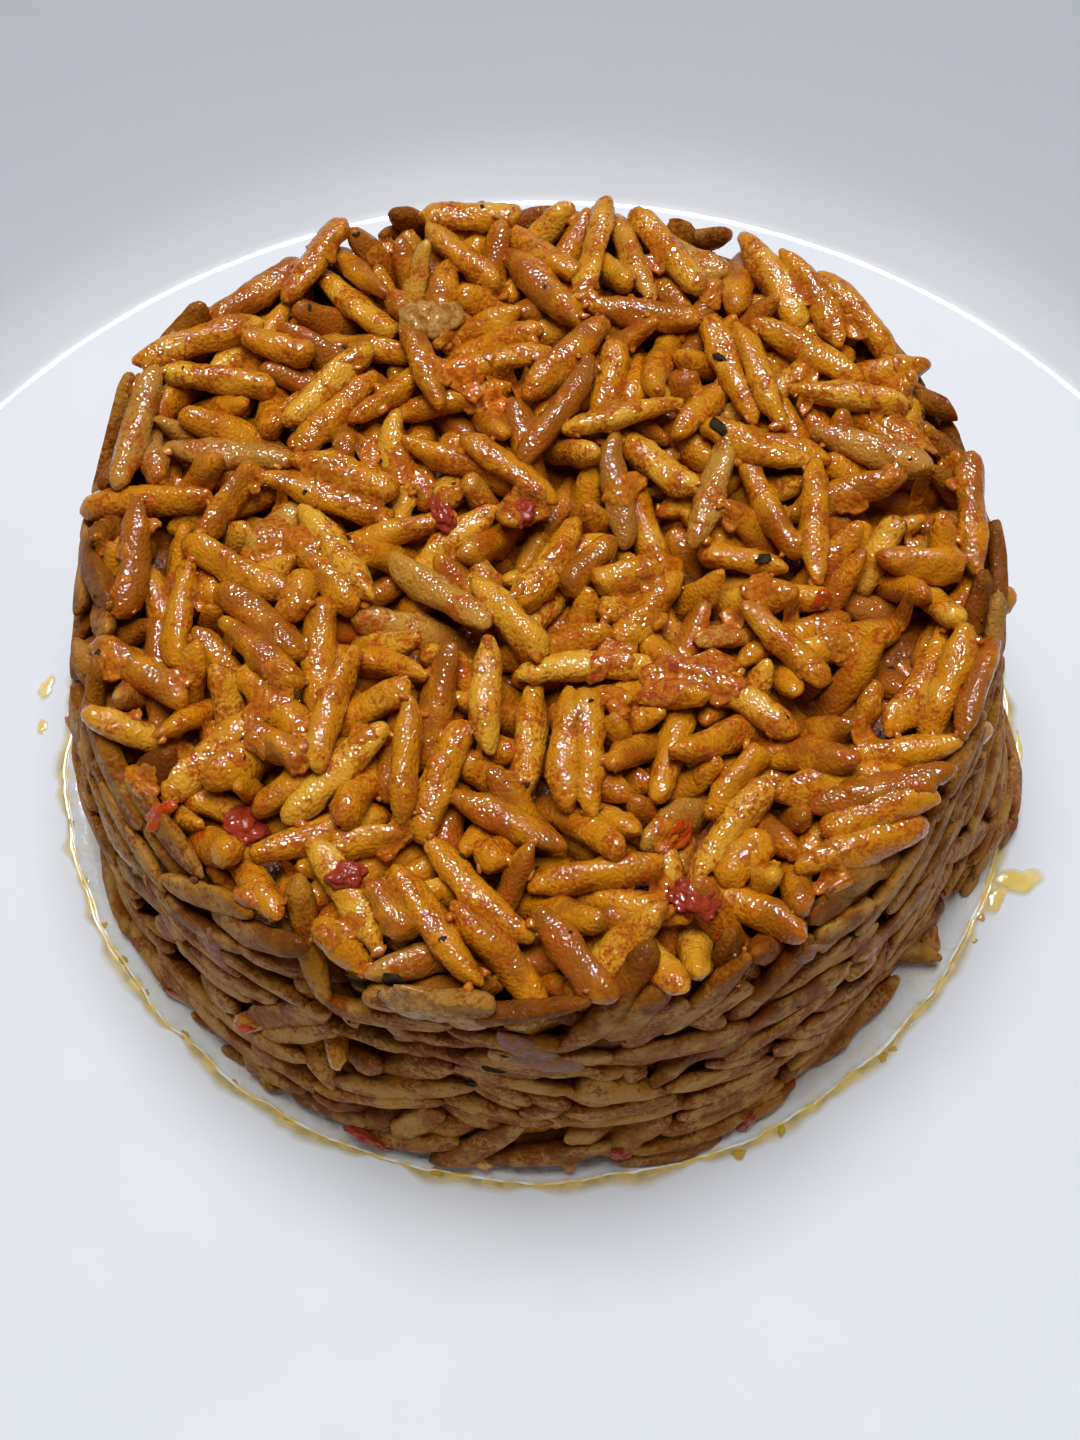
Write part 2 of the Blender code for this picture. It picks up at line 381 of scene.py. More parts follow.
def grain_material(name, settings, palette, paste, wet):
    """Cooked grain under a film of oil and paste. wet is 1 on the open top, less where the mould pressed. The
    side's palette and paste are darker copies of the top's: painted shade of the side that faces away from
    the lamps.
    """
    recipe = Recipe(
        name,
        IOR=1.42,
        Specular_IOR_Level=0.1,
        Subsurface_Weight=0.3,
        Subsurface_Radius=(1.0, 0.36, 0.08),
        Subsurface_Scale=1.2 * MM,
        Coat_Weight=wet,
        Coat_Roughness=0.07,
        Coat_IOR=1.45,
    )
    brown, golden, pale = palette
    blotch = recipe.remap(recipe.noise(3.2 * MM, 3), 0.3, 0.7, -0.24, 0.24)
    tone = recipe.maths("ADD", recipe.value("tone"), blotch)
    dark_to_gold = recipe.mix(recipe.remap(tone, 0.05, 0.5), brown, golden)
    colour = recipe.mix(recipe.remap(tone, 0.6, 1.05), dark_to_gold, pale)
    colour = recipe.mix(recipe.value("grey"), colour, settings.grey)
    clouds = recipe.remap(recipe.noise(2.2 * MM, 5), 0.36, 0.6, 0.05, 0.9)
    colour = recipe.mix(recipe.maths("MULTIPLY", recipe.value("bloom"), clouds), colour, settings.bloom)
    specks = recipe.remap(recipe.noise(0.42 * MM, 5, 0.75), 0.42, 0.62, 0.0, 0.75)
    patches = recipe.remap(recipe.noise(2.6 * MM, 3), 0.34, 0.66, -0.44, 0.62 - 0.18 * wet)
    film = recipe.maths("ADD", recipe.maths("ADD", recipe.value("paste"), specks), patches)
    colour = recipe.mix(recipe.remap(film, 0.2, 1.0), colour, paste)
    # Partly painted shade: grains darken towards the heart colour the deeper they lie under the drum's
    # surface, for paste in the gaps and for the shade between the grains.
    colour = recipe.mix(recipe.value("deep"), colour, settings.heart)
    recipe.feed(colour, "Base Color")
    rough = recipe.noise(0.6 * MM, 3)
    recipe.feed(recipe.remap(rough, 0.3, 0.7, 0.55 - 0.22 * wet, 0.75 - 0.2 * wet), "Roughness")
    fine = recipe.maths("MULTIPLY", recipe.noise(0.27 * MM, 0), 1.2)
    coarse = recipe.maths("MULTIPLY", recipe.noise(1.2 * MM, 2), 5.0 - 4.0 * wet)
    recipe.bump(recipe.maths("ADD", fine, coarse), 0.1 * MM, coated=True)
    return recipe.material


def paste_material(name, first, second, roughness, depth, coat):
    """Something soft and wet of two colours, in lumps."""
    recipe = Recipe(
        name,
        IOR=1.45,
        Subsurface_Weight=0.2,
        Subsurface_Radius=(1.0, 0.3, 0.1),
        Subsurface_Scale=0.8 * MM,
        Specular_IOR_Level=min(0.15, coat),
        Coat_Weight=coat,
        Coat_Roughness=0.07,
    )
    lumps = recipe.remap(recipe.noise(0.7 * MM, 6, 0.75), 0.38, 0.62)
    recipe.feed(recipe.mix(lumps, first, second), "Base Color")
    rough = recipe.noise(0.6 * MM, 3)
    recipe.feed(recipe.remap(rough, 0.3, 0.7, roughness - 0.1, roughness + 0.12), "Roughness")
    recipe.bump(recipe.noise(0.34 * MM, 0), depth, coated=True)
    return recipe.material


def oil_material(name, first, second, bump, fades=False):
    """Oil of two colours. With fades it thins out where the body value falls, so that the plate shows."""
    recipe = Recipe(name, Roughness=0.06, IOR=1.47, Coat_Weight=0.5, Coat_Roughness=0.03)
    blotch = recipe.remap(recipe.noise(1.8 * MM, 4), 0.36, 0.62)
    recipe.feed(recipe.mix(blotch, first, second), "Base Color")
    if fades:
        recipe.feed(recipe.value("body"), "Alpha")
    recipe.bump(recipe.noise(0.8 * MM, 3), bump, coated=True)
    return recipe.material


def floor_material(settings):
    recipe = Recipe("studio_floor", Roughness=0.6)
    shade = tuple(0.97 * part for part in settings.floor_colour)
    recipe.feed(recipe.mix(recipe.noise(60 * MM, 3), settings.floor_colour, shade), "Base Color")
    return recipe.material


# ---------------------------------------------------------------- the drum that the grains fill


class Drum:
    """The outer shape of the rice, read by rays from its solid, in its own frame: +Z up from the floor.

    Its tables hold the wall's radius by direction and level, and the top's height by direction and radius.
    PROUD is how far grains may stand out past the solid's wall."""

    TURNS = 72
    LEVELS = 16
    RINGS = 12
    PROUD = 0.6 * MM

    def __init__(self, node):
        low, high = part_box(node)
        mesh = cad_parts[node].data
        corners = [vertex.co for vertex in mesh.vertices]
        points = np.array(corners)
        tree = BVHTree.FromPolygons(corners, [face.vertices for face in mesh.polygons])
        upper = points[points[:, 2] > low.z + 0.6 * (high.z - low.z)]
        middle = (upper.max(axis=0) + upper.min(axis=0)) / 2
        self.origin = np.array((middle[0], middle[1], low.z))
        self.height = high.z - low.z
        far = 2 * (high.x - low.x)
        self.levels = np.linspace(0.03, 0.93, self.LEVELS) * self.height
        turns = np.arange(self.TURNS) * FULL_TURN / self.TURNS
        self.radii = np.zeros((self.TURNS, self.LEVELS))
        for i, turn in enumerate(turns):
            out = Vector((math.cos(turn), math.sin(turn), 0))
            for j, level in enumerate(self.levels):
                start = Vector(self.origin) + Vector((0, 0, level)) + out * far
                hit = tree.ray_cast(start, -out)[0]
                self.radii[i, j] = math.hypot(hit.x - self.origin[0], hit.y - self.origin[1])
        self.radii = self.smoothed(self.radii) + self.PROUD
        self.top_radius = float(self.radii[:, -1].mean())
        self.base_radius = float(self.radii[:, 0].mean())
        self.ring_radii = np.linspace(0.02, 0.93, self.RINGS) * self.top_radius
        self.tops = np.zeros((self.TURNS, self.RINGS))
        for i, turn in enumerate(turns):
            for j, radius in enumerate(self.ring_radii):
                place = Vector(self.origin) + Vector((math.cos(turn), math.sin(turn), 0)) * radius
                hit = tree.ray_cast(place + Vector((0, 0, far)), Vector((0, 0, -1)))[0]
                self.tops[i, j] = hit.z - self.origin[2]
        self.tops = self.smoothed(self.tops)

    @staticmethod
    def smoothed(table):
        for _ in range(2):
            around = (np.roll(table, 1, axis=0) + np.roll(table, -1, axis=0) + 2 * table) / 4
            padded = np.pad(around, ((0, 0), (1, 1)), mode="edge")
            table = (padded[:, :-2] + padded[:, 2:] + 2 * around) / 4
        return table

    def lookup(self, table, marks, turn, mark):
        """Reads a table by direction and by level or radius, blending its four nearest cells."""
        across = (turn / FULL_TURN * self.TURNS) % self.TURNS
        i = across.astype(int) % self.TURNS
        share = across - np.floor(across)
        along = np.clip((mark - marks[0]) / (marks[1] - marks[0]), 0, len(marks) - 1.001)
        j = along.astype(int)
        rest = along - j
        k = (i + 1) % self.TURNS
        near = table[i, j] * (1 - share) + table[k, j] * share
        far = table[i, j + 1] * (1 - share) + table[k, j + 1] * share
        return near * (1 - rest) + far * rest

    def radius_at(self, turn, height):
        return self.lookup(self.radii, self.levels, turn, height)

    def top_at(self, x, y):
        return self.lookup(self.tops, self.ring_radii, np.arctan2(y, x), np.hypot(x, y))

    def depths(self, points):
        """How far points lie inside the side and under the top."""
        around = np.hypot(points[:, 0], points[:, 1])
        turn = np.arctan2(points[:, 1], points[:, 0])
        side = self.radius_at(turn, points[:, 2]) - around
        return side, self.top_at(points[:, 0], points[:, 1]) - points[:, 2]


# ---------------------------------------------------------------- packing the grains


def side_frame(points):
    """At each point, the directions outwards and around the drum."""
    around = np.maximum(np.hypot(points[:, 0], points[:, 1]), 1e-9)
    out = np.stack((points[:, 0] / around, points[:, 1] / around, np.zeros(len(points))), axis=1)
    return out, np.stack((-out[:, 1], out[:, 0], out[:, 2]), axis=1)


def scatter(drum, settings, random):
    """Grains thrown evenly into the shell: flat on top, along the wall at the side."""
    batch = 4000
    kept = []
    total = 0
    while total < settings.count:
        radius = drum.base_radius * 1.08 * np.sqrt(random.random(batch))
        turn = random.uniform(0, FULL_TURN, batch)
        points = circle(turn, radius, drum.height * random.random(batch))
        side, top = drum.depths(points)
        inside = (side > 1 * MM) & (top > 1 * MM) & (np.minimum(side, top) < settings.shell)
        kept.append(points[inside])
        total += int(inside.sum())
    centre = np.concatenate(kept)[: settings.count]
    side, top = drum.depths(centre)
    facing = random.uniform(0, FULL_TURN, settings.count)
    lift = random.normal(0, 0.32, settings.count)
    flat = np.stack((np.cos(facing), np.sin(facing), lift), axis=1)
    out, along = side_frame(centre)
    slope = random.normal(0, math.radians(30), settings.count)[:, None]
    lean = random.normal(0, 0.12, settings.count)[:, None]
    pressed = np.cos(slope) * along + np.sin(slope) * UP + lean * out
    axis = unit(np.where((side < top)[:, None], pressed, flat))
    length = settings.grain_length * random.normal(1, 0.07, settings.count)
    short = random.random(settings.count) < settings.broken
    length = np.where(short, length * random.uniform(0.45, 0.75, settings.count), length)
    width = settings.grain_width * random.normal(1, 0.05, settings.count)
    near_top = smoothstep(-3 * MM, 3 * MM, side - top)
    rough = near_top * random.normal(0.3, 0.8, settings.count)
    rough += (1 - near_top) * random.normal(0.75, 0.28, settings.count)
    return {
        "centre": centre,
        "axis": axis,
        "length": length,
        "width": width,
        "half": (length - width) / 2,
        "rough": np.clip(rough, -0.9, 1.15) * MM,
        "short": short,
    }


def near_pairs(centre, reach):
    """The pairs of grains whose middles are nearer than reach, each pair once."""
    gap = ((centre[:, None] - centre[None]) ** 2).sum(axis=2)
    first, second = np.nonzero(gap < reach * reach)
    once = first < second
    return first[once], second[once]


def dot(first, second):
    return (first * second).sum(axis=1)


def closest(grains, first, second):
    """Where along two grains' axes they come closest, and the gap between those places."""
    one, two = grains["axis"][first], grains["axis"][second]
    between = grains["centre"][first] - grains["centre"][second]
    turn, start, end = dot(one, two), dot(one, between), dot(two, between)
    half_one, half_two = grains["half"][first], grains["half"][second]
    square = np.maximum(1 - turn * turn, 1e-4)
    s = np.clip((turn * end - start) / square, -half_one, half_one)
    t = np.clip(turn * s + end, -half_two, half_two)
    s = np.clip(turn * t - start, -half_one, half_one)
    return s, t, between + s[:, None] * one - t[:, None] * two


def summed(index, vectors, count):
    """Adds up the vectors that belong to each of count grains."""
    return np.stack([np.bincount(index, vectors[:, k], minlength=count) for k in range(3)], axis=1)


def wall_push(drum, points, room):
    """The move that brings points back inside the drum."""
    out, _ = side_frame(points)
    side, top = drum.depths(points)
    push = -out * np.maximum(room - side, 0)[:, None]
    push[:, 2] += np.maximum(room - points[:, 2], 0) - np.maximum(room - top, 0)
    return push


def settle(drum, grains, settings, steps):
    """Moves and turns the grains until they hardly overlap and stay inside the drum.

    A drift outwards, which stops before the end, packs them against the drum's surface."""
    give, stiffness, drift = 0.93, 0.45, 0.035
    count = len(grains["centre"])
    radius = grains["width"] / 2 * give
    inertia = grains["half"] ** 2 / 3 + radius**2
    for step in range(steps):
        if step % 5 == 0:
            first, second = near_pairs(grains["centre"], settings.grain_length * OUT_OF_REACH)
        s, t, gap = closest(grains, first, second)
        distance = np.maximum(np.linalg.norm(gap, axis=1), 1e-7)
        overlap = radius[first] + radius[second] - distance
        hit = overlap > 0
        i, j, s, t = first[hit], second[hit], s[hit], t[hit]
        normal = gap[hit] / distance[hit][:, None]
        weight = 2 + s * s / inertia[i] + t * t / inertia[j]
        push = normal * (stiffness * overlap[hit] / weight)[:, None]
        move = summed(i, push, count) - summed(j, push, count)
        swing = summed(i, push * (s / inertia[i])[:, None], count)
        swing -= summed(j, push * (t / inertia[j])[:, None], count)
        room = np.maximum(radius - grains["rough"], 0.1 * MM)
        for end in (-1, 1):
            reach = end * grains["half"]
            push = wall_push(drum, grains["centre"] + grains["axis"] * reach[:, None], room)
            share = 0.5 / (1 + reach**2 / inertia)
            move += push * share[:, None]
            swing += push * (share * reach / inertia)[:, None]
        move += 0.5 * wall_push(drum, grains["centre"], room)
        if step < 0.75 * steps:
            move += outward(drum, grains["centre"]) * drift * MM
        grains["centre"] += move
        grains["axis"] = unit(grains["axis"] + swing)
    return grains


def outward(drum, points):
    """The way to the nearest face of the drum, fading out at the surface."""
    side, top = drum.depths(points)
    out, _ = side_frame(points)
    nearest = np.where((side < top)[:, None], out, UP)
    return nearest * smoothstep(1.5 * MM, 4 * MM, np.minimum(side, top))[:, None]


def thinned(drum, grains, settings, random):
    """Leaves out some of the topmost grains and of the outer ones at the foot, and any left on the edge."""
    outermost, at_foot, on_edge = 2.4 * MM, 2.6 * MM, 0.6 * MM
    side, top = drum.depths(grains["centre"])
    topmost = (top < outermost) & (side > 2 * MM)
    lowest = (side < outermost) & (grains["centre"][:, 2] < at_foot)
    chance = settings.missing * topmost + settings.foot_missing * lowest
    perched = (side < on_edge) & (top < on_edge)
    keep = (random.random(len(chance)) >= chance) & ~perched
    return {key: value[keep] for key, value in grains.items()}


# Grains that stick out at the foot: direction in degrees, how far out the grain reaches in millimetres, its
# turn away from straight outwards, how steeply it leans in degrees, and its length in millimetres.
FOOT_GRAINS = (
    (-157, 43.7, 80, 10, 9.5),
    (-144, 43.0, 20, 5, 8.0),
    (-129, 43.6, 60, 0, 9.0),
    (-122, 43.0, 40, 5, 8.5),
    (-110, 42.8, -40, 6, 7.5),
    (-100, 43.6, 25, 8, 9.5),
    (-88, 43.5, 0, 10, 9.0),
    (-79, 43.7, 75, 0, 10.2),
    (-67, 43.3, 80, 4, 10.0),
    (-57, 42.7, 70, 3, 9.5),
    (-47, 42.4, 85, 3, 9.0),
    (-38, 44.0, 20, 12, 10.0),
    (-33, 43.2, -20, 10, 9.0),
    (-20, 45.0, 65, 20, 10.6),
    (30, 43.5, 60, 5, 9.5),
    (75, 43.3, 30, 8, 9.0),
    (110, 43.5, 70, 5, 10.0),
    (160, 43.5, 50, 5, 9.5),
)


def with_foot_grains(grains, settings):
    """Adds the grains that stick out at the foot, each with its outer tip on the plate."""
    rows = np.array(FOOT_GRAINS, float)
    direction, turn, rise = (np.radians(rows[:, column]) for column in (0, 2, 3))
    length = rows[:, 4] * MM
    width = np.full(len(rows), settings.grain_width)
    half = (length - width) / 2
    middle = rows[:, 1] * MM - half * np.cos(turn) * np.cos(rise) - width / 2
    height = width / 2 + half * np.sin(rise)
    heading = direction + turn
    added = {
        "centre": circle(direction, middle, height),
        "axis": circle(heading, np.cos(rise), -np.sin(rise)),
        "length": length,
        "width": width,
        "half": half,
        "rough": np.zeros(len(rows)),
        "short": np.zeros(len(rows), bool),
    }
    return {key: np.concatenate((value, added[key])) for key, value in grains.items()}


def finish_grains(drum, grains, settings, random):
    """Adds what only the drawing needs: frames across each axis, bends, tones and tips."""
    pointed_share, sauceless_share, broken_tip = 0.55, 0.08, 9.0
    count = len(grains["centre"])
    side, top = drum.depths(grains["centre"])
    out, _ = side_frame(grains["centre"])
    face = np.where((side < top)[:, None], out, UP)
    normal = unit(face - dot(face, grains["axis"])[:, None] * grains["axis"] + 1e-6)
    across = np.cross(grains["axis"], normal)
    twist = random.normal(0, 0.5, count)[:, None]
    grains["normal"] = np.cos(twist) * normal + np.sin(twist) * across
    grains["across"] = np.cross(grains["axis"], grains["normal"])
    way = random.uniform(0, FULL_TURN, count)[:, None]
    level = np.cos(way) * 0.5 * normal + np.sin(way) * across
    grains["bow"] = np.where((side < top)[:, None], normal * 0.9 + 0.3 * across, level)
    grains["bend"] = np.abs(random.normal(0, 1, count)) * 0.8 + 0.2
    pointed = random.random((count, 2)) < pointed_share
    fine_tips = random.uniform(2.1, 3.0, (count, 2))
    grains["tips"] = np.where(pointed, fine_tips, random.uniform(3.4, 6.5, (count, 2)))
    broken_end = random.integers(0, 2, count)
    grains["tips"][grains["short"], broken_end[grains["short"]]] = broken_tip
    spread = np.where(top < side, 0.26, 0.36)
    grains["tone"] = np.clip(random.normal(0.5, spread, count), 0, 1)
    sauceless = random.random(count) < sauceless_share
    grains["grey"] = np.where(sauceless, random.uniform(0.3, 0.75, count), 0)
    grains["taper"] = random.normal(0, 0.09, count)
    grains["hook"] = random.normal(0, 0.9, count)
    grains["flatness"] = np.clip(random.normal(settings.flatness, 0.09, count), 0.6, 1.05)
    grains["depth"] = np.minimum(side, top)
    grains["on_top"] = top < side
    return grains


def grain_points(grains, chosen, rings, around, settings, random):
    """Points of the chosen grains, (count, rings * around + 2, 3), with their outward directions."""
    t = -np.cos(np.pi * np.arange(1, rings + 1) / (rings + 1))
    theta = FULL_TURN * np.arange(around) / around
    centre, axis = grains["centre"][chosen], grains["axis"][chosen]
    normal, across = grains["normal"][chosen], grains["across"][chosen]
    length, width = grains["length"][chosen], grains["width"][chosen]
    tips = grains["tips"][chosen]
    power = np.where(t[None] < 0, tips[:, :1], tips[:, 1:])
    profile = np.sqrt(1 - np.abs(t)[None] ** power)
    count = len(centre)
    phase = random.uniform(0, FULL_TURN, (4, count, 1, 1))
    lumps = 0.045 * np.sin(2 * theta[None, None] + 1.5 * t[None, :, None] + phase[0])
    lumps = lumps + 0.035 * np.sin(6.5 * t[None, :, None] + phase[1])
    lumps = lumps + 0.03 * np.sin(3 * theta[None, None] - 4 * t[None, :, None] + phase[2])
    lumps = lumps + 0.02 * np.sin(5 * theta[None, None] + 9 * t[None, :, None] + phase[3])
    radial = normal[:, None, None] * np.cos(theta)[None, None, :, None]
    radial = radial * grains["flatness"][chosen][:, None, None, None]
    radial = radial + across[:, None, None] * np.sin(theta)[None, None, :, None]
    uneven = 1 + grains["taper"][chosen][:, None] * t[None]
    reach = (width[:, None] / 2 * profile * uneven)[:, :, None] * (1 + 1.5 * lumps)
    bend = grains["bend"][chosen] * settings.bend * (length / settings.grain_length) ** 2
    bow = grains["bow"][chosen] * bend[:, None]
    spine = centre[:, None] + axis[:, None] * (t[None, :, None] * length[:, None, None] / 2)
    twist = across * (grains["hook"][chosen] * settings.bend)[:, None]
    spine = spine + bow[:, None] * (0.5 - t**2)[None, :, None]
    spine = spine + twist[:, None] * (t**3 - 0.6 * t)[None, :, None]
    body = spine[:, :, None] + radial * reach[..., None]
    ends = [centre + axis * (end * length / 2)[:, None] - bow * 0.5 + twist * 0.4 * end for end in (-1, 1)]
    slant = (profile[:, :, None, None] * 0 + t[None, :, None, None] ** 5) * axis[:, None, None]
    outs = unit(radial + slant)
    points = np.concatenate((body.reshape(count, -1, 3), ends[0][:, None], ends[1][:, None]), axis=1)
    outs = np.concatenate((outs.reshape(count, -1, 3), -axis[:, None], axis[:, None]), axis=1)
    return points, outs


def bridged(points, outs, grains, chosen, settings):
    """Swells each grain towards those it touches. Returns the moved points and how much paste each holds."""
    first, second = near_pairs(grains["centre"], settings.grain_length * OUT_OF_REACH)
    _, _, gap = closest(grains, first, second)
    radius = grains["width"] / 2
    touch = np.linalg.norm(gap, axis=1) < radius[first] + radius[second] + 2.5 * settings.fillet
    first, second = first[touch], second[touch]
    place = np.full(len(grains["centre"]), -1)
    place[chosen] = np.arange(len(chosen))
    total = np.zeros(points.shape[:2])
    for mine, other in ((first, second), (second, first)):
        drawn = place[mine] >= 0
        for part in np.array_split(np.nonzero(drawn)[0], 12):
            row = place[mine[part]]
            j = other[part]
            offset = points[row] - grains["centre"][j][:, None]
            share = (offset * grains["axis"][j][:, None]).sum(axis=2)
            share = np.clip(share, -grains["half"][j][:, None], grains["half"][j][:, None])
            offset = offset - share[..., None] * grains["axis"][j][:, None]
            away = np.linalg.norm(offset, axis=2) - radius[j][:, None] * 0.95
            pull = np.exp(-np.clip(away, -0.6 * settings.fillet, 9 * settings.fillet) / settings.fillet)
            np.add.at(total, row, pull)
    swell = settings.fillet * np.log1p(np.maximum(total - 0.02, 0))
    flat = points.reshape(-1, 3)
    patchy = np.clip(0.7 + 1.1 * wavy(flat, 3.2 * MM, settings.seed).reshape(swell.shape), 0.1, 1.5)
    swell = np.clip(swell * patchy, 0, 1.4 * settings.fillet)
    fine = wavy(flat, 1.2 * MM, settings.seed + 1).reshape(swell.shape) * (0.08 * MM + 0.3 * swell)
    moved = points + outs * (swell + fine)[..., None]
    return moved, smoothstep(0.25 * settings.fillet, 1.1 * settings.fillet, swell)


def pressed_in(drum, points, give):
    """Flattens what stands out past the mould's wall, less so at the foot, and what would enter the plate."""
    foot_give = 0.8
    side, _ = drum.depths(points)
    out, _ = side_frame(points)
    loose = give + (foot_give - give) * (1 - smoothstep(1.5 * MM, 3.5 * MM, points[:, 2]))
    moved = points + out * (np.minimum(side, 0) * (1 - loose))[:, None]
    moved[:, 2] = np.maximum(moved[:, 2], 0)
    return moved


def grain_faces(count, rings, around):
    """Quads round each grain's body and triangles at its tips."""
    start_tip, end_tip = rings * around, rings * around + 1
    last_ring = (rings - 1) * around
    quad = np.stack(round_cells(rings, around), axis=1)
    triangle = np.concatenate((fan(start_tip, 0, around, turned=True), fan(end_tip, last_ring, around)))
    base = (np.arange(count) * (rings * around + 2))[:, None, None]
    return (quad[None] + base).reshape(-1, 4), (triangle[None] + base).reshape(-1, 3)


def patch_layout(mesh, count, rings, around):
    """Lays each grain's skin out as its own rectangle, rows of rectangles filling the unit square."""
    columns = math.ceil(math.sqrt(count / 1.4))
    rows = math.ceil(count / columns)
    ring, step = np.meshgrid(np.arange(rings - 1), np.arange(around), indexing="ij")
    ring, step = ring.ravel()[:, None], step.ravel()[:, None]
    along = (ring + np.array((0, 0, 1, 1))[None] + 1) / (rings + 1)
    across = (step + np.array((0, 1, 1, 0))[None]) / around
    quads = np.stack((along, across), axis=2)
    step = np.arange(around)[:, None]
    first_row, last_row = 1 / (rings + 1), rings / (rings + 1)
    tips = (
        (np.array((0, first_row, first_row)), np.array((0.5, 1, 0))),
        (np.array((1, last_row, last_row)), np.array((0.5, 0, 1))),
    )
    corners = [np.stack((row + 0 * step, (step + turn) / around), axis=2) for row, turn in tips]
    triangles = np.concatenate(corners)
    margin = 0.04
    cell = np.stack((np.arange(count) % columns, np.arange(count) // columns), axis=1)
    size = np.array((1 / columns, 1 / rows))

    def placed(local):
        spot = cell[:, None, None] + margin + local[None] * (1 - 2 * margin)
        return (spot * size).reshape(-1, 2)

    layer = mesh.uv_layers.new(name="OFBake")
    spots = np.concatenate((placed(quads), placed(triangles)))
    layer.data.foreach_set("uv", spots.astype(np.float32).ravel())


def add_grains(name, drum, grains, chosen, rings, around, moulded, material, settings, random):
    """Draws one layer of grains as one piece. A moulded layer is flattened where it touched the mould."""
    points, outs = grain_points(grains, chosen, rings, around, settings, random)
    points, paste = bridged(points, outs, grains, chosen, settings)
    quads, triangles = grain_faces(len(chosen), rings, around)
    flat = points.reshape(-1, 3)
    if moulded:
        flat = pressed_in(drum, flat, settings.press)
    side, top = drum.depths(flat)
    # Partly painted shade: deep grows with depth under the surface and darkens the grains there as shade
    # would, besides standing for paste in the gaps.
    deep = smoothstep(1.4 * MM, 5.0 * MM, np.minimum(side, top))
    mesh = joined_mesh(name, flat + drum.origin, quads, triangles)
    patch_layout(mesh, len(chosen), rings, around)
    point_values(mesh, "paste", paste)
    point_values(mesh, "deep", 0.8 * deep)
    outermost = 1 - smoothstep(0.15 * MM, 0.9 * MM, side)
    point_values(mesh, "bloom", outermost * smoothstep(0.5 * MM, 3 * MM, top))
    for value in ("tone", "grey"):
        point_values(mesh, value, np.repeat(grains[value][chosen], points.shape[1]))
    return add_piece(name, mesh, material, "rice_mound")


# ---------------------------------------------------------------- the heart of the drum


def core_mesh(drum, sink, seed):
    """A closed lumpy drum that lies under the outer grains."""
    turns, side_rows, top_rows = 120, 26, 30
    rows = [(1.0, k / (side_rows - 1)) for k in range(side_rows)]
    rows += [(1 - k / (top_rows + 0.5), 1.0) for k in range(1, top_rows + 1)]
    theta = FULL_TURN * np.arange(turns) / turns
    points = []
    for radius_share, height_share in rows:
        height = np.full(turns, height_share) * (drum.height - sink)
        radius = (drum.radius_at(theta, height) - sink) * radius_share
        x, y = radius * np.cos(theta), radius * np.sin(theta)
        level = np.minimum(height, drum.top_at(x, y) - sink)
        points.append(np.stack((x, y, level), axis=1))
    points = np.concatenate(points)
    lumps = wavy(points, 4.5 * MM, seed) * 0.9 * MM + wavy(points, 1.6 * MM, seed + 1) * 0.35 * MM
    direction = unit(points - np.array((0, 0, drum.height * 0.3)))
    # The lowest ring stays where it stands on the plate.
    direction[:turns] = 0
    points = points + direction * lumps[:, None]
    peak = np.array((0, 0, points[-turns:, 2].mean()))
    foot = np.array((0, 0, points[:turns, 2].min()))
    points = np.concatenate((points, peak[None], foot[None]))
    quads = np.stack(round_cells(len(rows), turns), axis=1)
    cap = fan(len(points) - 2, (len(rows) - 1) * turns, turns)
    base = fan(len(points) - 1, 0, turns, turned=True)
    return joined_mesh("rice_heart", points + drum.origin, quads, np.concatenate((cap, base)))


# ---------------------------------------------------------------- lumps and flakes


def round_template(cuts):
    """Points and triangles of a unit ball."""
    ball = bmesh.new()
    bmesh.ops.create_icosphere(ball, subdivisions=cuts, radius=1.0)
    points = np.array([vertex.co for vertex in ball.verts])
    triangles = np.array([[vertex.index for vertex in face.verts] for face in ball.faces])
    ball.free()
    return points, triangles


def lumps_mesh(name, origin, centres, frames, sizes, cuts, roughness, random):
    """One joined mesh of lumpy balls. frames holds three directions for each, and sizes three half sizes."""
    ball, triangles = round_template(cuts)
    count = len(centres)
    dents = [wavy(ball + 9 * k, 1.1, int(random.integers(1e6))) for k in range(count)]
    shape = 1 + roughness * np.stack(dents)
    local = ball[None] * shape[..., None] * sizes[:, None]
    points = centres[:, None] + np.einsum("nvk,nkd->nvd", local, frames)
    faces = triangles[None] + (np.arange(count) * len(ball))[:, None, None]
    return joined_mesh(name, points.reshape(-1, 3) + origin, np.zeros((0, 4)), faces.reshape(-1, 3))


def frames_on(normals, random):
    """For each normal, two directions across it at a random turn, and the normal itself."""
    seed = unit(random.normal(size=normals.shape))
    first = unit(np.cross(normals, seed))
    second = np.cross(normals, first)
    return np.stack((first, second, normals), axis=1)


def surface_spot(drum, direction, share, on_top, sink):
    """A place on the drum's top or side. share is of the top's radius, or of the height."""
    turn = math.radians(direction)
    if on_top:
        radius = share * drum.top_radius
        x, y = radius * math.cos(turn), radius * math.sin(turn)
        height = float(drum.top_at(np.array([x]), np.array([y]))[0])
        return np.array((x, y, height - sink)), UP
    height = share * drum.height
    radius = float(drum.radius_at(np.array([turn]), np.array([height]))[0]) - sink
    out = np.array((math.cos(turn), math.sin(turn), 0.0))
    return out * radius + np.array((0, 0, height)), out


